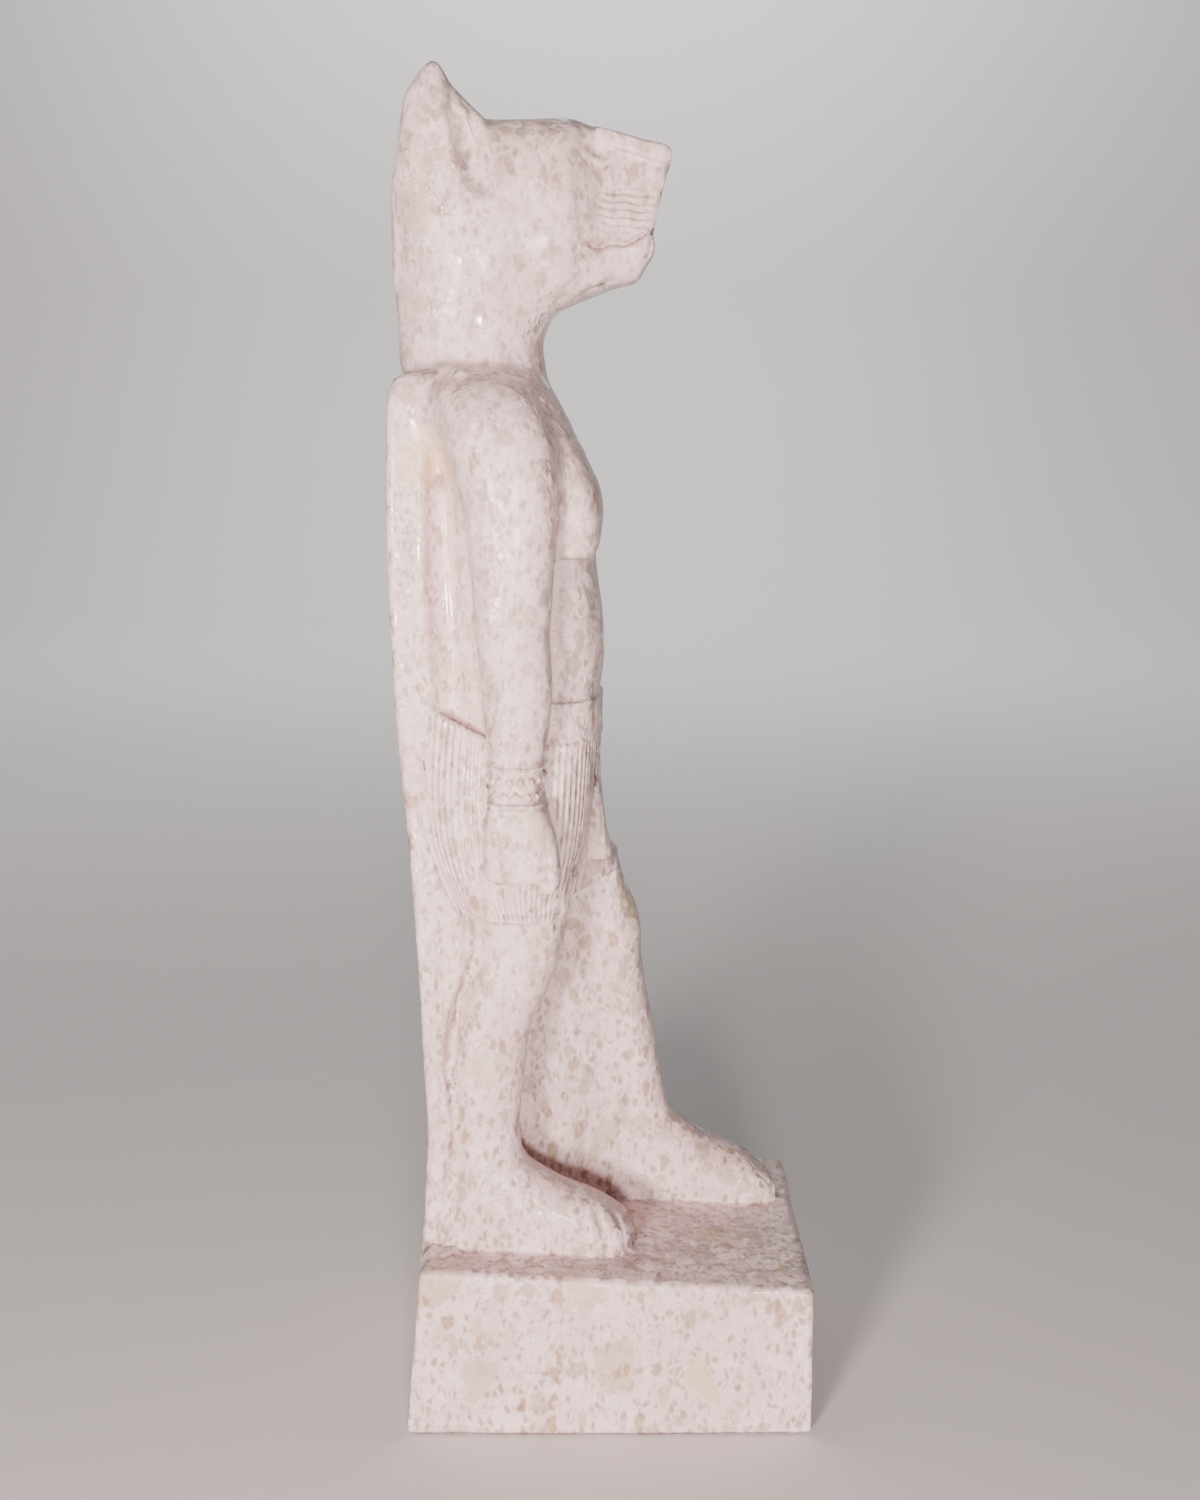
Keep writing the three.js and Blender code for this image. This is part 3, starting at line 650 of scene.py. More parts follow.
def trunk_and_kilt(p):
    """The trunk with its breasts and belt, the back pillar, and the kilt with its tab."""
    body = blended(TRUNK.distance(*p), SPINE.distance(*p), SPINE_FILLET)
    breasts = blended(*[breast.distance(*p) for breast in BREASTS], BETWEEN_BREASTS_FILLET)
    body = blended(body, breasts, CHEST_FILLET)
    body = blended(body, BELT.distance(*p), BELT_FILLET)
    body = blended(body, BACK_PILLAR.distance(*p), PILLAR_FILLET)
    skirt = blended(KILT_SKIRT.distance(*p), TAB.distance(*p), TAB_FILLET)
    return blended(body, skirt, KILT_FILLET)


def arm_and_hand(p, arm, hand, bracelet, thumb):
    """One arm with its fist, bracelet and thumb."""
    limb = blended(arm.distance(*p), hand.distance(*p), WRIST_FILLET)
    limb = blended(limb, bracelet.distance(*p), BRACELET_FILLET)
    return blended(limb, thumb.distance(*p), THUMB_FILLET)


def head_and_neck(p):
    """The skull on its neck, with the ears and the strip along the nose."""
    head = blended(CRANIUM.distance(*p), THROAT.distance(*p), JAW_FILLET)
    for ear in EARS:
        head = blended(head, ear.distance(*p), EAR_FILLET)
    return blended(head, STRIP.distance(*p), NOSE_STRIP_FILLET)


def field(points):
    """The whole statue's distance: each form's distance, blended with what it grows from."""
    p = points[:, 0], points[:, 1], points[:, 2]
    body = trunk_and_kilt(p)
    at_shoulder = smooth_step(SHOULDER_BEGINS, SHOULDER_ENDS, p[2])
    arm_fillet = FOREARM_FILLET + (SHOULDER_FILLET - FOREARM_FILLET) * at_shoulder
    for limb in zip(ARMS, HANDS, BRACELETS, THUMBS):
        body = blended(body, arm_and_hand(p, *limb), arm_fillet)
    body = blended(body, head_and_neck(p), COLLAR_FILLET)
    whole = blended(body, lower_body(p), HIP_FILLET)
    return blended(whole, BLOCK.distance(*p), PLINTH_FILLET)


def lattice_noise(points, cell, seed):
    """Value noise: random numbers on a cubic lattice, eased between its corners, about 0."""
    chance = np.random.default_rng(seed).uniform(-1, 1, (64, 64, 64))
    place = points / cell
    low = np.floor(place).astype(int)
    t = place - low
    t = t * t * (3 - 2 * t)
    total = 0
    for dx in (0, 1):
        for dy in (0, 1):
            for dz in (0, 1):
                corner = chance[(low[:, 0] + dx) % 64, (low[:, 1] + dy) % 64, (low[:, 2] + dz) % 64]
                wx = t[:, 0] if dx else 1 - t[:, 0]
                wy = t[:, 1] if dy else 1 - t[:, 1]
                wz = t[:, 2] if dz else 1 - t[:, 2]
                total = total + corner * wx * wy * wz
    return total


PLEAT_ANGLES, PLEAT_SHARES = even_angles(KILT_SQUARENESS, 4, *KILT_SECTION)[1:]
KILT_LIP = 0.2
HEM_LINE = 0.25
WORN_UNDER_HAND = 0.5
WORN_ON_THIGH = 0.85


def pleats(across, forward, height):
    """Rounded pleats: the sine's size round the kilt, sharp in the grooves. Less under the hands."""
    front, back, half = Kilt.section(across, height)
    u = across / half
    v = (forward - (front + back) / 2) / ((front - back) / 2)
    power = KILT_SQUARENESS / 2
    angle = np.arctan2(np.sign(v) * np.abs(v) ** power, np.sign(u) * np.abs(u) ** power)
    share = np.interp(angle % (2 * np.pi), PLEAT_ANGLES, PLEAT_SHARES)
    ridge = np.abs(np.sin(np.pi * PLEATS * share)) ** 0.75 - 1
    top, hem = Kilt.edges(u, v)
    shown = smooth_step(0, 0.8, height - hem) * smooth_step(0, 0.6, top - height)
    near = bump(0, 2.0, KILT_SKIRT.distance(across, forward, height))
    under_hand = bump(-14.5, 7, forward) * smooth_step(86, 80, height)
    on_thigh = smooth_step(-8, -4, across) * smooth_step(-6, -3, forward)
    on_thigh = on_thigh * smooth_step(93, 86, height)
    worn = (1 - WORN_UNDER_HAND * under_hand) * (1 - WORN_ON_THIGH * on_thigh)
    lip = KILT_LIP * bump(0.5, 0.9, top - height) * smooth_step(0.1, -0.3, v) * near
    hem_line = HEM_LINE * bump(1.0, 0.45, height - hem) * near
    return PLEAT_DEPTH * shown * near * worn * ridge + lip + hem_line


TAB_PLEAT_WIDTH = 1.15
TAB_PLEAT_DEPTH = 0.3


def tab_pleats(across, forward, height):
    """The tab's lengthwise pleats: the sine's size across its front."""
    ridge = np.abs(np.sin(across * np.pi / TAB_PLEAT_WIDTH)) ** 0.8 - 1
    near = bump(0, 0.9, TAB.distance(across, forward, height)) * smooth_step(-5, -2.5, forward)
    return TAB_PLEAT_DEPTH * ridge * near * window(75.4, 76.5, 100, 101, height)


def groove_line(along, off, start, end, width):
    """A groove: 1 on its line, falling to 0 at its half width, faded at its ends."""
    return bump(0, width, off) * window(start - 0.6, start + 0.2, end - 0.2, end + 0.6, along)


# The ear's valley in the side view. Rows: height, forward.
EAR_VALLEY = [(197.5, -24.0), (202.5, -25.6), (207, -26.9), (212.6, -27.9), (219, -28.6)]
EAR_VALLEY_DEPTH = 1.9
EAR_ROOT_DEPTH = 1.0
EAR_RIDGE = 0.6


def ear_relief(across, forward, height):
    """A valley from the ear's tip to its root, with a ridge and a front flap before it."""
    heights, places = np.array(EAR_VALLEY).T
    before = forward - np.interp(height, heights, places)
    shown = window(196, 200, 214, 218.5, height)
    shown = shown * smooth_step(7, 10, np.abs(across)) * smooth_step(-10, -14, forward)
    width = 1.6 + 0.9 * smooth_step(214, 202, height)
    wall = smooth_step(-0.4, width, before) * smooth_step(6.5, 2.5, before)
    valley = wall * (EAR_VALLEY_DEPTH + EAR_ROOT_DEPTH * smooth_step(213, 205, height))
    ridge_at = 3.3 + 0.1 * (211 - height)
    ridge = bump(0, 1.3, before - ridge_at) * window(203, 205.5, 211, 213, height)
    return (EAR_RIDGE * ridge - valley) * shown


MOUTH_DEPTH = 1.15
LOWER_LIP_RISE = 0.9
CHIN_ROUNDING = 1.3
NOSE_ROUNDING = 0.6
UPPER_LIP_CLEFT = 0.3
JOWL_RISE = 0.9


def mouth_relief(side, forward, height):
    """A wavy mouth line that rises to the nose, the lower lip, a rounded chin and the jowls."""
    mouth_at = 189.4 + 0.03 * (forward + 1) ** 2
    mouth_at = mouth_at + 0.25 * np.sin(forward * 1.1)
    mouth = groove_line(forward, height - mouth_at, -3, 11.4, 0.8)
    lip = bump(189.0, 3.0, height) * smooth_step(1.5, 6, forward)
    chin = smooth_step(187.6, 184.4, height) * smooth_step(6, 10.5, forward)
    nose_corner = smooth_step(204.8, 206.6, height) * smooth_step(10.2, 12.2, forward)
    cleft = bump(0, 0.45, side) * window(190, 191, 201, 203, height) * smooth_step(7, 8.5, forward)
    jowl = bump(-1.5, 5.0, forward) * smooth_step(199, 190, height) * smooth_step(5, 7, side)
    carved = LOWER_LIP_RISE * lip - MOUTH_DEPTH * mouth - CHIN_ROUNDING * chin
    return carved - NOSE_ROUNDING * nose_corner - UPPER_LIP_CLEFT * cleft + JOWL_RISE * jowl


WHISKER_PITCH = 1.3
WHISKER_DEPTH = 0.24


def whisker_lines(side, forward, height):
    """Rows of shallow wavy lines along the muzzle: a sine of the height."""
    rows = np.sin(2 * np.pi * (height + 0.06 * forward) / WHISKER_PITCH + 0.7 * np.sin(forward * 1.3))
    shown = window(191, 192.5, 197.8, 199.8, height) * window(-2, 0.5, 7, 9.5, forward)
    return WHISKER_DEPTH * rows * shown * smooth_step(4.6, 5.6, side)


EYE_PLACE = (-1.9, 204.4)
EYE_HALF_LENGTH = 2.0
EYE_HALF_HEIGHT = 1.2
EYE_RISE = 0.8
EYE_HOLLOW_DEPTH = 1.3


def eye_relief(side, forward, height):
    """An almond eye with a groove round it, in a hollow behind the muzzle."""
    along = forward - EYE_PLACE[0]
    up = height - EYE_PLACE[1] + 0.25 * along
    ring = np.hypot(along / EYE_HALF_LENGTH, up / EYE_HALF_HEIGHT)
    eye = (bump(0, 0.85, ring) - 0.6 * bump(1.15, 0.4, ring)) * smooth_step(5.5, 7, side)
    hollow = bump(-1.8, 2.9, forward) * bump(204.5, 4.6, height) * smooth_step(5, 7, side)
    return EYE_RISE * eye - EYE_HOLLOW_DEPTH * hollow


def face_relief(across, forward, height):
    """All that is carved in the face, ahead of the cheeks."""
    on_face = smooth_step(178, 182, height) * smooth_step(-7, -5.5, forward)
    p = np.abs(across), forward, height
    return (mouth_relief(*p) + whisker_lines(*p) + eye_relief(*p)) * on_face


RIM_RISE = 0.4
RIM_GROOVE = 0.8
ZIGZAG_RISE = 0.35
DOT_RISE = 0.85
BRACELET_SINK = 0.15
DOT_PITCH = 2.0
WRIST_RADIUS = 5.6


def bracelet_relief(side, forward, height):
    """Two rims with a row of dots and a zigzag between them, measured along the wrist's girth."""
    low, high = BRACELET_HEIGHT
    rims = bump(low + 0.7, 0.6, height) + bump(high - 0.7, 0.6, height)
    rims = rims - RIM_GROOVE * bump(low, 0.45, height) - RIM_GROOVE * bump(high, 0.45, height)
    round_arm = np.arctan2(forward + 16, side - 21) * WRIST_RADIUS
    zigzag_at = 92.9 + 0.9 * np.abs(2 * ((round_arm / DOT_PITCH) % 1) - 1)
    zigzag = bump(0, 0.5, height - zigzag_at)
    dots = bump(0, 1.0, np.hypot((round_arm % DOT_PITCH) - DOT_PITCH / 2, height - 95.9))
    at_wrist = bump(0, 1.5, BRACELETS[1].distance(side, forward, height))
    carved = RIM_RISE * rims + ZIGZAG_RISE * zigzag + DOT_RISE * dots - BRACELET_SINK
    return carved * np.minimum(1, 1.3 * at_wrist)


HAND_CREASE = 1.0


def hand_crease(across, forward, height):
    """A crease where the fist meets the kilt: near the surfaces of both."""
    at_hand = bump(0, 1.3, HANDS[1].distance(np.abs(across), forward, height))
    at_kilt = bump(0, 1.3, KILT_SKIRT.distance(across, forward, height))
    return -HAND_CREASE * at_hand * at_kilt * smooth_step(91, 89, height)


STROKE_PITCH = 1.5
STROKE_DEPTH = 0.06


def belt_strokes(across, forward, height):
    """Upright strokes across the belt's front: a sine of the place across."""
    strokes = np.sin(2 * np.pi * across / STROKE_PITCH) * bump(104.8, 3.2, height)
    return STROKE_DEPTH * strokes * smooth_step(-6, -3, forward) * smooth_step(15, 13, np.abs(across))


COLLAR_RISE = 0.22


def collar_lines(forward, height):
    """Two raised lines that hang lower toward the front, by a power of the way from the back."""
    reach = np.clip(forward + 22, 0, 22)
    collar_at = 166.6 - 0.028 * reach**2.05
    collar = bump(0, 0.5, height - collar_at) + 0.7 * bump(0, 0.4, height - collar_at + 2.4)
    shown = smooth_step(-22, -19, forward) * window(150, 152.5, 166.5, 168.5, height)
    return COLLAR_RISE * collar * shown


BELLY_LINE_PITCH = 2.1
BELLY_LINE_DEPTH = 0.07


def belly_lines(across, forward, height):
    """Faint level lines on the sides of the belly: a sine of the height that wavers across."""
    wave = np.sin(2 * np.pi * (height + 0.5 * np.sin(across * 0.8)) / BELLY_LINE_PITCH)
    shown = window(111, 114, 128, 132, height) * smooth_step(-9, -4, forward)
    return BELLY_LINE_DEPTH * wave * shown * smooth_step(3, 8, np.abs(across))


# Toes. Rows: side, the fan's middle (across, forward), its first and last angle from straight
# ahead to outward, where the grooves start and how deep they are.
TOE_FANS = [
    (-1, (8.5, -8.0), (-18, 72), 8.0, 1.1),
    (1, (8.5, 21.0), (-18, 60), 9.0, 0.25),
]
TOES = 5


def toes(across, forward, height):
    """Toes are wedges that fan out from a point on the foot, with sharp grooves between them."""
    total = 0 * across
    for side, (beside, ahead), (first, last), start, depth in TOE_FANS:
        out, on = side * across - beside, forward - ahead
        turn = (np.degrees(np.arctan2(out, on)) - first) / (last - first) * TOES
        ridge = np.abs(np.sin(np.pi * turn)) ** 0.6 - 1
        shown = smooth_step(start, start + 3, np.hypot(out, on)) * smooth_step(-0.3, 0.4, turn)
        shown = shown * smooth_step(TOES + 0.3, TOES - 0.5, turn)
        near = bump(0, 1.6, FEET[(side + 1) // 2].distance(across, forward, height))
        total = total + depth * ridge * shown * near * smooth_step(0.3, 1.2, height)
    return total


# The rough groove between the calf and the pillar. Rows: height, forward.
CALF_EDGE = [
    (10, -30.2),
    (17.6, -29.6),
    (25.8, -28.3),
    (34, -29.2),
    (42.5, -29.4),
    (50.9, -28.0),
    (56, -25.8),
    (62.3, -23.8),
    (66, -24.0),
    (69.6, -24.9),
    (74, -26.0),
]


CALF_GROOVE_DEPTH = 1.1
CALF_LEDGE_RISE = 0.7


def calf_edge_relief(side, forward, height, rough):
    """A groove between the calf and the pillar's edge, with a rough ledge behind it."""
    before = forward - curve_through(CALF_EDGE, height)[0]
    shown = smooth_step(12, 14, side) * window(4, 12, 66, 74, height)
    groove = smooth_step(-1.6, 0.2, before) * smooth_step(3.6, 0.2, before) * shown
    ledge = window(-6, -2.5, -1.4, 0, before) * shown
    return (CALF_LEDGE_RISE + 0.2 * rough) * ledge - CALF_GROOVE_DEPTH * groove


def rough_patches(points, rough):
    """Rough strips down the pillar's edge, lumps at the heel and a lumpy seam between the feet."""
    across, forward, height = points.T
    side = np.abs(across)
    edge_at = -30.6 + 0.9 * lattice_noise(points * (0, 0, 1), 5.0, 8)
    strip = bump(0, 1.5, forward - edge_at) * smooth_step(12, 15, side)
    strip = strip * smooth_step(72, 62, height) * smooth_step(-1, 2, height)
    heel = bump(-31, 6, forward) * window(-2, -1, 3, 8, height) * window(11, 15, 20, 22, side)
    seam = window(-10, -7, 3, 7, forward) * bump(-3.6, 2.2, across) * window(-2, -0.5, 3, 6, height)
    lumps = np.maximum(lattice_noise(points, 2.1, 7), -0.1)
    strip_rise = (0.4 + 0.35 * rough) * strip
    heel_rise = (0.2 * rough + 1.8 * lumps) * heel
    seam_rise = (0.5 + 0.3 * rough + 1.2 * lumps) * seam
    return strip_rise + heel_rise + seam_rise


# The skin stands this far inside the solid, so that its waves stay within the solid's box.
EVEN_LOSS = 0.12
WIDE_WAVE = 0.16
SHORT_WAVE = 0.07


def casting_marks(points):
    """Faces a little wavy from hand polish, and the parts that were left rough."""
    across, forward, height = points.T
    wavy = WIDE_WAVE * lattice_noise(points, 9.0, 3) + SHORT_WAVE * lattice_noise(points, 3.6, 4)
    rough = lattice_noise(points, 1.7, 5) + 0.6 * lattice_noise(points, 0.8, 6)
    calf = calf_edge_relief(np.abs(across), forward, height, rough)
    return wavy + rough_patches(points, rough) + calf - EVEN_LOSS


def carved_field(points):
    """The smooth field less the height of all carving at a point."""
    p = points[:, 0], points[:, 1], points[:, 2]
    side = np.abs(p[0])
    relief = pleats(*p) + tab_pleats(*p) + ear_relief(*p) + face_relief(*p) + toes(*p)
    relief = relief + bracelet_relief(side, p[1], p[2]) + hand_crease(*p)
    relief = relief + belt_strokes(*p) + collar_lines(p[1], p[2]) + belly_lines(*p)
    return field(points) - relief - casting_marks(points)


def slopes(function, points, value, step):
    """The function's gradient from a small step along each axis."""
    shifts = np.eye(3) * step
    return np.stack([(function(points + shift) - value) / step for shift in shifts], axis=1)


LONGEST_MOVE = 0.6
LEAST_SLOPE = 0.15
SLOPE_STEP = 0.02


def drawn_onto(function, points, rounds):
    """Newton steps: each point moves along the gradient by value over slope, up to a limit."""
    for _ in range(rounds):
        value = function(points)
        slope = slopes(function, points, value, SLOPE_STEP)
        size = np.maximum((slope**2).sum(axis=1), LEAST_SLOPE)
        move = -(value / size)[:, None] * slope
        length = np.maximum(np.linalg.norm(move, axis=1, keepdims=True), 1e-9)
        points = points + move * np.minimum(1, LONGEST_MOVE / length)
    return points


def relaxed(points, edges, share):
    """Each point goes a share of the way to the mean of its neighbours, to even the skin's mesh."""
    ends = np.concatenate([edges, edges[:, ::-1]])
    number = np.maximum(np.bincount(ends[:, 0], minlength=len(points)), 1)
    sums = [np.bincount(ends[:, 0], points[ends[:, 1], k], len(points)) for k in range(3)]
    return points + share * (np.stack(sums, axis=1) / number[:, None] - points)


def placed(points):
    """Figure units to the row's frame: across to the left is +X, forward is -Y, in metres."""
    across, forward, height = points.T
    return np.stack([across, -forward, height + GROUND], axis=1) * MM


def closed_skin(rings, caps):
    """Quads between rings of points, closed at both ends by rings drawn in to a middle point."""
    ends = []
    for ring in (rings[0], rings[-1]):
        middle = ring.mean(axis=0)
        ends.append([middle + (ring - middle) * t for t in np.linspace(1, 0, caps + 2)[1:-1]])
    start, finish = ends
    rings = np.concatenate([np.array(start[::-1]), rings, np.array(finish)])
    count, sides = rings.shape[:2]
    points = rings.reshape(-1, 3)
    poles = np.array([rings[0].mean(axis=0), rings[-1].mean(axis=0)])
    i, j = np.meshgrid(np.arange(count - 1), np.arange(sides), indexing="ij")
    k = (j + 1) % sides
    quads = np.stack([i * sides + j, i * sides + k, (i + 1) * sides + k, (i + 1) * sides + j], -1)
    j = np.arange(sides)
    k = (j + 1) % sides
    low = np.stack([k, j, 0 * j + len(points)], -1)
    high = np.stack([(count - 1) * sides + j, (count - 1) * sides + k, 0 * j + len(points) + 1], -1)
    faces = quads.reshape(-1, 4).tolist() + low.tolist() + high.tolist()
    return np.vstack([points, poles]), faces


def mesh_object(name, points, faces):
    """A mesh object from points and faces, its faces turned outward."""
    mesh = bpy.data.meshes.new(name)
    mesh.from_pydata(points.tolist(), [], faces)
    mesh.update()
    made = bpy.data.objects.new(name, mesh)
    bpy.context.scene.collection.objects.link(made)
    corners = np.array([points[f[k]] for f in faces for k in (0, 1, 2)]).reshape(-1, 3, 3)
    volume = np.einsum("ij,ij->i", corners[:, 0], np.cross(corners[:, 1], corners[:, 2])).sum()
    if volume < 0:
        mesh.flip_normals()
    return made


PLAIN_CAPS = 3
FINE_CAPS = 12
SHOWN_ENDS = [CRANIUM, STRIP, *HANDS]


def form_object(name, form, sides, steps):
    """One form as a closed mesh in figure units, with fine ends where they show."""
    caps = FINE_CAPS if form in SHOWN_ENDS else PLAIN_CAPS
    points, faces = closed_skin(form.rings(sides, steps), caps)
    return mesh_object(name, points, faces)


SEAM_GAP = 0.1


def joined(objects):
    """Every form joined into one closed mesh by unions, without the slivers along the seams."""
    base = objects[0]
    for other in objects[1:]:
        union = base.modifiers.new("join", "BOOLEAN")
        union.operation, union.solver, union.object = "UNION", "MANIFOLD", other
    graph = bpy.context.evaluated_depsgraph_get()
    whole = bpy.data.meshes.new_from_object(base.evaluated_get(graph))
    for each in objects:
        bpy.data.objects.remove(each, do_unlink=True)
    cleaned = bmesh.new()
    cleaned.from_mesh(whole)
    bmesh.ops.remove_doubles(cleaned, verts=cleaned.verts, dist=SEAM_GAP)
    bmesh.ops.dissolve_degenerate(cleaned, edges=cleaned.edges, dist=SEAM_GAP / 4)
    cleaned.to_mesh(whole)
    cleaned.free()
    return whole


# Every form with the number of points round it and of steps along it that its carving needs.
DENSITIES = [("plinth", BLOCK, 144, 16), ("pillar", BACK_PILLAR, 124, 104), ("web", LEG_WEB, 66, 50)]
DENSITIES += [(f"leg_{i}", form, 72, 76) for i, form in enumerate(LEGS)]
DENSITIES += [(f"foot_{i}", form, 84, 74) for i, form in enumerate(FEET)]
DENSITIES += [("torso", TRUNK, 130, 74), ("belt", BELT, 130, 12), ("spine", SPINE, 60, 60)]
DENSITIES += [("backing", BACKING, 60, 50)]
DENSITIES += [(f"breast_{i}", form, 60, 26) for i, form in enumerate(BREASTS)]
DENSITIES += [("tab", TAB, 90, 24), ("neck", THROAT, 100, 50)]
for i in (0, 1):
    DENSITIES += [(f"arm_{i}", ARMS[i], 60, 84), (f"bracelet_{i}", BRACELETS[i], 130, 36)]
    DENSITIES += [(f"hand_{i}", HANDS[i], 60, 22), (f"thumb_{i}", THUMBS[i], 30, 22)]
    DENSITIES += [(f"ear_{i}", EARS[i], 84, 60)]
DENSITIES += [("skull", CRANIUM, 196, 116), ("nose_strip", STRIP, 80, 28)]
KILT_STEPS = 28


def all_forms():
    """Every form as a closed mesh object."""
    quick = 1.0

    def count(number):
        return max(12, int(number * quick))

    made = [form_object(name, form, count(sides), count(steps)) for name, form, sides, steps in DENSITIES]
    columns = PLEATS * COLUMNS_PER_PLEAT
    made.append(form_object("kilt", KILT_SKIRT, columns, count(KILT_STEPS)))
    return made


EVENING_ROUNDS = 5
EVENING_SHARE = 0.6


def smoothed_and_carved(points, edges):
    """The joined skin drawn onto the smooth field, evened out on it and then carved."""
    points = drawn_onto(field, points, 3)
    for _ in range(EVENING_ROUNDS):
        points = drawn_onto(field, relaxed(points, edges, EVENING_SHARE), 1)
    return drawn_onto(carved_field, points, 3)


def within_solid_box(points):
    """The placed points stood on the floor, centred front to back and kept in the solid's box."""
    low, high = points.min(axis=0), points.max(axis=0)
    cad_low, cad_high = (np.array(corner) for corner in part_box("bastet_statue"))
    shift = np.array([0, (cad_low[1] + cad_high[1] - low[1] - high[1]) / 2, -low[2]])
    return np.clip(points + shift, cad_low, cad_high)


NORMAL_STEP = 0.05


def statue_skin():
    """All forms joined, smoothed together and carved, with the carving's own normals."""
    whole = joined(all_forms())
    points = np.empty(len(whole.vertices) * 3)
    whole.vertices.foreach_get("co", points)
    edges = np.empty(len(whole.edges) * 2, int)
    whole.edges.foreach_get("vertices", edges)
    points = smoothed_and_carved(points.reshape(-1, 3), edges.reshape(-1, 2))
    normals = slopes(carved_field, points, carved_field(points), NORMAL_STEP)
    normals /= np.maximum(np.linalg.norm(normals, axis=1, keepdims=True), 1e-9)
    whole.vertices.foreach_set("co", within_solid_box(placed(points)).ravel())
    whole.flip_normals()  # forward is -Y, which turned the faces over
    whole.update()
    made = bpy.data.objects.new("bastet_statue_skin", whole)
    bpy.context.scene.collection.objects.link(made)
    whole.polygons.foreach_set("use_smooth", np.ones(len(whole.polygons), bool))
    turned = np.stack([normals[:, 0], -normals[:, 1], normals[:, 2]], axis=1)
    whole.normals_split_custom_set_from_vertices(turned.tolist())
    triangles = sum(len(face.vertices) - 2 for face in whole.polygons)
    print("statue:", len(whole.vertices), "points", triangles, "triangles")
    return made


statue = statue_skin()
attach(statue, "root")
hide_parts("bastet_statue")


class Maker:
    """Short ways to add and link the nodes of a material. Patterns read Object coordinates."""

    def __init__(self, tree):
        self.tree = tree
        self.place = self.add("ShaderNodeTexCoord").outputs["Object"]

    def add(self, kind, **values):
        """A new node with its options set."""
        node = self.tree.nodes.new(kind)
        for name, value in values.items():
            setattr(node, name, value)
        return node

    def link(self, source, target):
        """A link from an output to an input."""
        self.tree.links.new(source, target)

    def feed(self, socket, value):
        """A number or a colour set on an input, or an output linked to it."""
        if isinstance(value, (int, float, tuple)):
            socket.default_value = value
        else:
            self.link(value, socket)

    def math(self, operation, first, second=0.0):
        """One operation on two numbers."""
        node = self.add("ShaderNodeMath", operation=operation)
        for socket, value in zip(node.inputs, (first, second)):
            self.feed(socket, value)
        return node.outputs[0]

    def mix(self, share, first, second):
        """The first colour with a share of the second laid over it."""
        node = self.add("ShaderNodeMix", data_type="RGBA")
        for socket, value in zip((node.inputs[0], node.inputs[6], node.inputs[7]), (share, first, second)):
            self.feed(socket, value)
        return node.outputs[2]

    def ramp(self, value, stops):
        """A colour for each value, straight between the stops."""
        node = self.add("ShaderNodeValToRGB")
        while len(node.color_ramp.elements) < len(stops):
            node.color_ramp.elements.new(0.5)
        for element, (place, colour) in zip(node.color_ramp.elements, stops):
            element.position, element.color = place, colour
        self.link(value, node.inputs[0])
        return node.outputs[0]

    def noise(self, scale, detail):
        """Soft noise, with a number of features per metre."""
        node = self.add("ShaderNodeTexNoise")
        node.inputs["Scale"].default_value = scale
        node.inputs["Detail"].default_value = detail
        self.link(self.place, node.inputs["Vector"])
        return node.outputs

    def vector(self, operation, first, second):
        """One operation on two vectors."""
        node = self.add("ShaderNodeVectorMath", operation=operation)
        for socket, value in zip(node.inputs, (first, second)):
            self.feed(socket, value)
        return node


def grey(value):
    """A grey of one value, as a ramp's colour."""
    return (value, value, value, 1.0)


GROUND_TINTS = [(0.35, (0.77, 0.585, 0.565, 1)), (0.65, (0.90, 0.72, 0.71, 1))]
CREAM = (0.88, 0.74, 0.60, 1)
FINE_TINTS = [(0, (0.50, 0.35, 0.32)), (1, (0.98, 0.82, 0.82))]
SMALL_TINTS = [(0, (0.34, 0.23, 0.17)), (0.6, (0.44, 0.31, 0.275)), (1, (0.68, 0.52, 0.49))]
MEDIUM_TINTS = [(0, (0.42, 0.30, 0.17)), (0.3, (0.48, 0.37, 0.30)), (1, (0.66, 0.52, 0.46))]
LARGE_TINTS = [(0, (0.82, 0.66, 0.38)), (0.5, (0.60, 0.46, 0.35)), (1, (0.70, 0.57, 0.49))]
SPECK_TINTS = [(0, (0.32, 0.19, 0.09)), (1, (0.42, 0.27, 0.14))]

# The stone's chips. Rows: name, then the cells' size in metres, the share of cells with a chip, how
# far the cells are warped, their turn and stretch and the softness of the chips' edges, then how
# strongly the chips show and their tints.
CHIP_LAYERS = [
    ("fine", (0.0006, 0.5, 0.5, (0.4, 0.9, 0.2), 1.3, 0.25), 0.6, FINE_TINTS),
    ("small", (0.0012, 0.36, 0.6, (0.5, 0.3, 0.0), 1.7, 0.28), 0.8, SMALL_TINTS),
    ("small_crossed", (0.0012, 0.30, 0.6, (-0.6, 0.8, 1.0), 1.7, 0.28), 0.8, SMALL_TINTS),
    ("medium", (0.0026, 0.2, 0.45, (1.0, 0.2, 0.5), 1.4, 0.12), 0.7, MEDIUM_TINTS),
    ("large", (0.0075, 0.05, 0.3, (0.2, 0.6, 0.1), 1.2, 0.05), 0.8, LARGE_TINTS),
    ("specks", (0.0019, 0.03, 0.7, (0.7, 0.1, 0.9), 1.7, 0.15), 0.7, SPECK_TINTS),
]
SMALL_FACETS = (0.0012, 1.0, 0.4, (0.1, 0.2, 0.3), 1.0, 0.1)
EDGE_GAP = 0.02
MEDIUM_FACET_TILT = 0.26
SMALL_FACET_TILT = 0.22
PIT_DEPTH = 0.00004
CLOUD_RISE = 0.0004
RAGGED_RISE = 0.0003


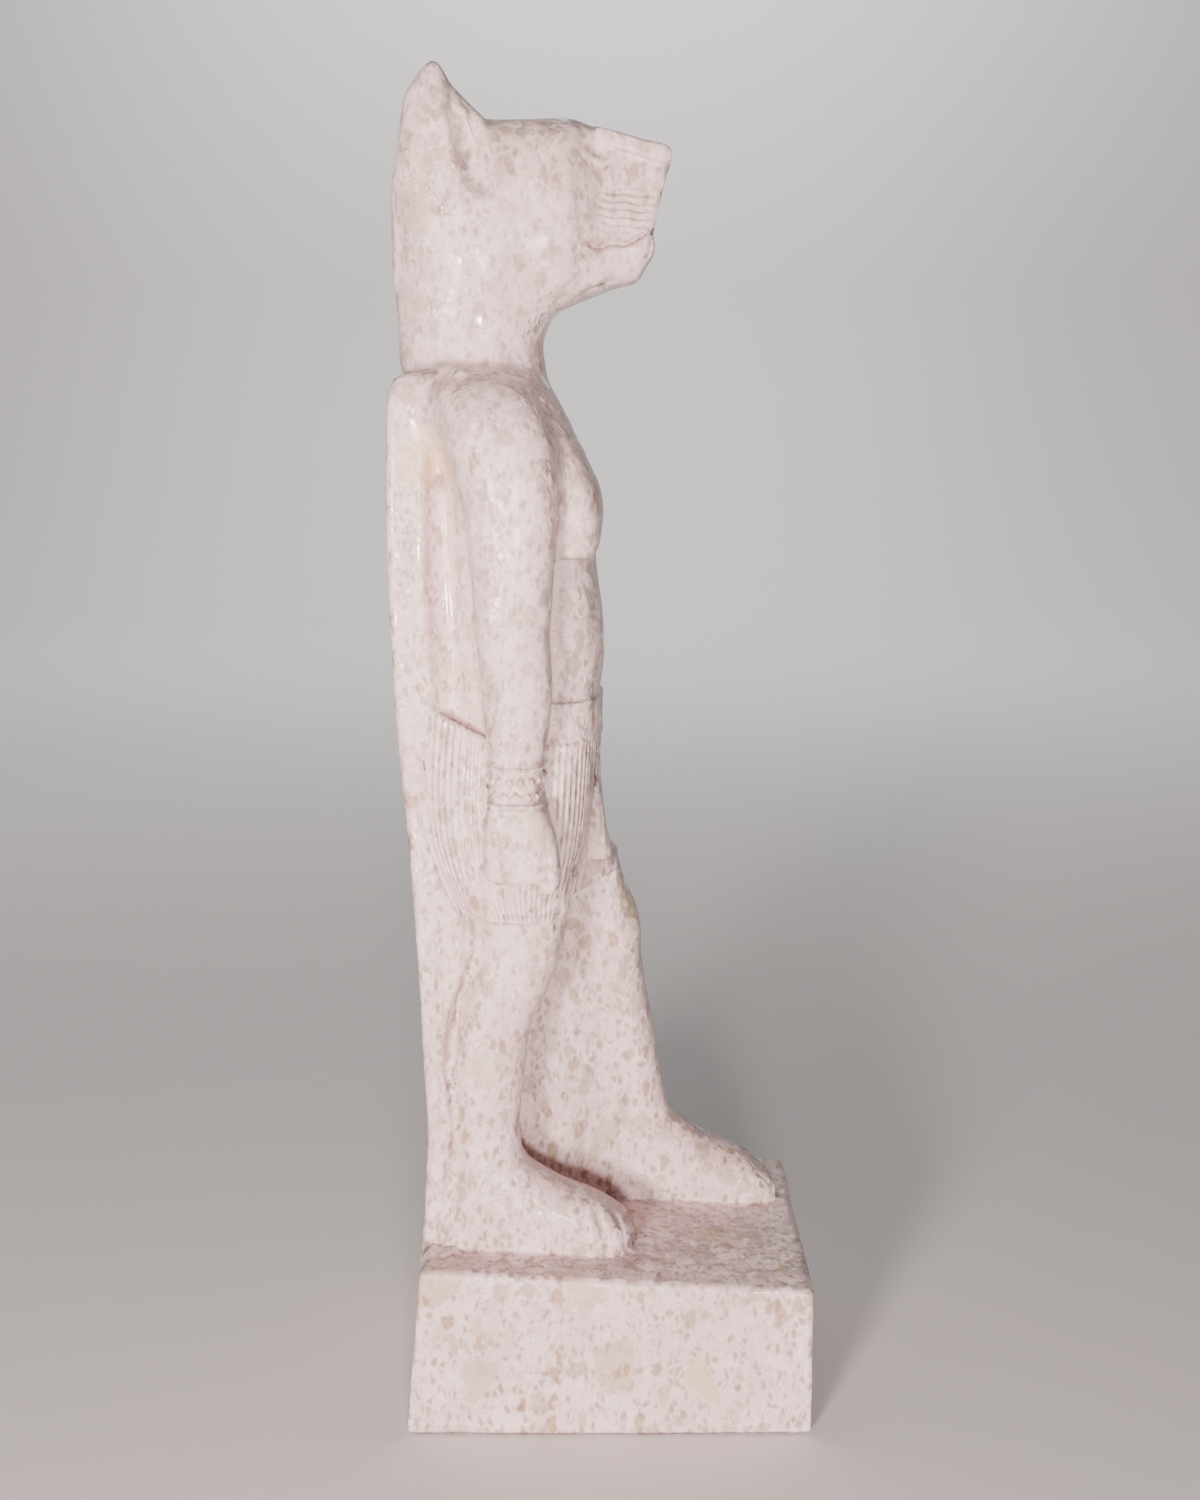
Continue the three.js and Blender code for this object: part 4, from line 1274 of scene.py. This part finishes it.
def chip_cells(make, size, share, warp, turn, stretch, soft):
    """Angular cells, a share of which are chips: their mask, a random value each and their tilt."""
    shift = make.vector("MULTIPLY_ADD", make.noise(0.9 / size, 2.0)["Color"], (warp * size,) * 3)
    make.link(make.place, shift.inputs[2])
    turned = make.add("ShaderNodeMapping")
    turned.inputs["Rotation"].default_value = turn
    turned.inputs["Scale"].default_value = (1, 1, 1 / stretch)
    make.link(shift.outputs[0], turned.inputs["Vector"])
    cell = make.add("ShaderNodeTexVoronoi", feature="F1")
    edge = make.add("ShaderNodeTexVoronoi", feature="DISTANCE_TO_EDGE")
    for node in (cell, edge):
        node.inputs["Scale"].default_value = 1 / size
        make.link(turned.outputs[0], node.inputs["Vector"])
    random = make.add("ShaderNodeSeparateColor")
    make.link(cell.outputs["Color"], random.inputs[0])
    chosen = make.math("LESS_THAN", random.outputs["Red"], share)
    inside = make.ramp(edge.outputs["Distance"], [(EDGE_GAP, grey(0)), (EDGE_GAP + soft, grey(1))])
    away = make.vector("SUBTRACT", turned.outputs[0], cell.outputs["Position"])
    lean = make.vector("SUBTRACT", cell.outputs["Color"], (0.5, 0.5, 0.5))
    tilt = make.vector("DOT_PRODUCT", away.outputs[0], lean.outputs[0])
    return make.math("MULTIPLY", chosen, inside), random.outputs["Green"], tilt.outputs["Value"]


def settled_share(make):
    """1 at the plinth and less above: the chips settled toward it in the mould."""
    height_at = make.add("ShaderNodeSeparateXYZ")
    make.link(make.place, height_at.inputs[0])
    settled = make.add("ShaderNodeMapRange")
    make.link(height_at.outputs["Z"], settled.inputs["Value"])
    for name, value in zip(("From Min", "From Max", "To Min", "To Max"), (0.05, 0.2, 1.0, 0.7)):
        settled.inputs[name].default_value = value
    return settled.outputs[0]


def stone_colour(make, cloud, cells):
    """A cloudy pale ground with cream patches, and every layer of chips laid over it in turn."""
    colour = make.ramp(cloud, GROUND_TINTS)
    cream = make.ramp(make.noise(24.0, 2.0)["Fac"], [(0.56, grey(0)), (0.72, grey(0.5))])
    colour = make.mix(cream, colour, CREAM)
    settled = settled_share(make)
    for name, _, strength, tints in CHIP_LAYERS:
        mask, chance, _ = cells[name]
        share = make.math("MULTIPLY", make.math("MULTIPLY", mask, strength), settled)
        stops = [(at, (*shade, 1.0)) for at, shade in tints]
        colour = make.mix(share, colour, make.ramp(chance, stops))
    return colour


def stone_roughness(make, grain, broken, medium):
    """A satin polish, glossier on the medium chips and on the patches that broke to crystal."""
    smooth = make.ramp(grain, [(0.3, grey(0.38)), (0.7, grey(0.55))])
    smooth = make.mix(make.math("MULTIPLY", medium, 0.7), smooth, grey(0.16))
    return make.mix(broken, smooth, grey(0.12))


def stone_dents(make, grain, cloud, broken, medium_tilt):
    """Leaning facets, pits, a slow wave and ragged crystal patches, as one bumped normal."""
    small_tilt = chip_cells(make, *SMALL_FACETS)[2]
    facets = make.math("MULTIPLY", medium_tilt, MEDIUM_FACET_TILT)
    facets = make.math("ADD", facets, make.math("MULTIPLY", small_tilt, SMALL_FACET_TILT))
    pits = make.ramp(grain, [(0.26, grey(0)), (0.38, grey(1))])
    height = make.math("ADD", facets, make.math("MULTIPLY", pits, PIT_DEPTH))
    height = make.math("ADD", height, make.math("MULTIPLY", cloud, CLOUD_RISE))
    ragged = make.math("MULTIPLY", make.noise(1300.0, 2.0)["Fac"], RAGGED_RISE)
    height = make.math("ADD", height, make.math("MULTIPLY", broken, ragged))
    dent = make.add("ShaderNodeBump")
    dent.inputs["Strength"].default_value = 1.0
    dent.inputs["Distance"].default_value = 1.0
    make.link(height, dent.inputs["Height"])
    return dent.outputs["Normal"]


def crushed_stone():
    """White crushed stone: soft-edged chips of many sizes in a pale pink ground, polished."""
    material = bpy.data.materials.new("crushed_stone")
    material.use_nodes = True
    make = Maker(material.node_tree)
    shader = material.node_tree.nodes["Principled BSDF"]
    cells = {name: chip_cells(make, *cell) for name, cell, _, _ in CHIP_LAYERS}
    medium, _, medium_tilt = cells["medium"]
    cloud = make.noise(90.0, 4.0)["Fac"]
    grain = make.noise(800.0, 3.0)["Fac"]
    broken = make.ramp(make.noise(190.0, 3.0)["Fac"], [(0.60, grey(0)), (0.66, grey(1))])
    make.link(stone_colour(make, cloud, cells), shader.inputs["Base Color"])
    make.link(stone_roughness(make, grain, broken, medium), shader.inputs["Roughness"])
    gloss = make.ramp(broken, [(0.0, grey(0.1)), (1.0, grey(0.8))])
    make.link(gloss, shader.inputs["Coat Weight"])
    make.link(stone_dents(make, grain, cloud, broken, medium_tilt), shader.inputs["Normal"])
    shader.inputs["Subsurface Weight"].default_value = 0.08
    shader.inputs["Subsurface Radius"].default_value = (0.0021, 0.0018, 0.0017)
    shader.inputs["Subsurface Scale"].default_value = 1.0
    shader.inputs["Coat Roughness"].default_value = 0.1
    return material


statue.data.materials.clear()
statue.data.materials.append(crushed_stone())


# The floor, in metres: how far it reaches behind, how high it rises there, its bend and its width.
FLOOR_REACH, FLOOR_RISE, FLOOR_BEND, FLOOR_WIDTH = 1.6, 3.5, 0.35, 12.0


def floor_paper():
    """Matt pale paper."""
    paper = bpy.data.materials.new("floor_paper")
    paper.use_nodes = True
    tone = paper.node_tree.nodes["Principled BSDF"]
    tone.inputs["Base Color"].default_value = (0.78, 0.77, 0.76, 1)
    tone.inputs["Roughness"].default_value = 0.9
    return paper


def floor_sheet():
    """A level line, a quarter circle and an upright line, drawn out across the view."""
    t = np.linspace(0, np.pi / 2, 24)
    bend_x = FLOOR_REACH - FLOOR_BEND + FLOOR_BEND * np.sin(t)
    profile_x = np.concatenate([[-FLOOR_WIDTH / 2], bend_x, [FLOOR_REACH]])
    profile_z = np.concatenate([[0], FLOOR_BEND - FLOOR_BEND * np.cos(t), [FLOOR_RISE]])
    y = np.tile([-FLOOR_WIDTH / 2, FLOOR_WIDTH / 2], len(profile_x))
    points = np.stack([np.repeat(profile_x, 2), y, np.repeat(profile_z, 2)], axis=1)
    i = np.arange(len(profile_x) - 1) * 2
    faces = np.stack([i, i + 2, i + 3, i + 1], axis=1).tolist()
    mesh = bpy.data.meshes.new("floor")
    mesh.from_pydata(points.tolist(), [], faces)
    mesh.polygons.foreach_set("use_smooth", np.ones(len(mesh.polygons), bool))
    floor = bpy.data.objects.new("floor", mesh)
    bpy.context.scene.collection.objects.link(floor)
    floor.data.materials.append(floor_paper())
    return floor


STATUE_MIDDLE = (0, 0, 0.12)
BACKDROP_MIDDLE = (1.6, 0, 0.35)
# Lamps, in metres and watts. Rows: name, place, what each is aimed at, size, power and colour.
LAMPS = [
    ("key_left", (-0.53, 0.19, 0.14), STATUE_MIDDLE, 0.1, 4.7, (1.0, 0.83, 0.815)),
    ("key_right", (-0.56, -0.03, 0.14), STATUE_MIDDLE, 0.08, 3.0, (1.0, 0.83, 0.815)),
    ("fill", (-0.55, -0.60, 0.15), STATUE_MIDDLE, 0.5, 0.4, (1.0, 0.87, 0.86)),
    ("rim", (0.35, 0.5, 0.25), STATUE_MIDDLE, 0.5, 0.25, (0.99, 0.96, 0.97)),
    ("backdrop", (0.95, 0, 1.1), BACKDROP_MIDDLE, 0.9, 14.0, (1.0, 0.99, 0.98)),
]
SURROUND_TONE = (0.93, 0.88, 0.89, 1)
SURROUND_STRENGTH = 0.05


def lamp(name, place, target, size, power, colour):
    """A soft round lamp that looks from its place at its target."""
    data = bpy.data.lights.new(name, "AREA")
    data.shape, data.size, data.energy, data.color = "DISK", size, power, colour
    made = bpy.data.objects.new(name, data)
    bpy.context.scene.collection.objects.link(made)
    made.location = place
    away = np.array(place) - np.array(target)
    turn = math.atan2(away[0], -away[1])
    made.rotation_euler = (math.acos(away[2] / np.linalg.norm(away)), 0, turn)


def surround():
    """A dim pale light from all round."""
    world = bpy.data.worlds.new("surround")
    bpy.context.scene.world = world
    world.use_nodes = True
    background = world.node_tree.nodes["Background"]
    background.inputs["Color"].default_value = SURROUND_TONE
    background.inputs["Strength"].default_value = SURROUND_STRENGTH


floor_sheet()
for row in LAMPS:
    lamp(*row)
surround()

# Camera, fitted to the plinth's perspective in the photo: its focal length in pixels of the
# 1200 by 1500 frame, its place in millimetres and how far it looks down.
FOCAL_PIXELS = 1642.0
FRAME_HEIGHT = 1500.0
CAMERA_PLACE = (-311.0, 0.85, 187.6)
LOOKS_DOWN = math.radians(10.95)
SENSOR = 36.0


def photo_camera():
    """The scene's camera, which looks along the figure's right side to its left."""
    lens = bpy.data.cameras.new("photo_camera")
    lens.sensor_fit = "AUTO"
    lens.sensor_width = SENSOR
    lens.lens = FOCAL_PIXELS * SENSOR / FRAME_HEIGHT
    lens.clip_start = 0.01
    camera = bpy.data.objects.new("photo_camera", lens)
    bpy.context.scene.collection.objects.link(camera)
    camera.location = [value * MM for value in CAMERA_PLACE]
    camera.rotation_euler = (math.pi / 2 - LOOKS_DOWN, 0, -math.pi / 2)
    return camera


bpy.context.scene.camera = photo_camera()
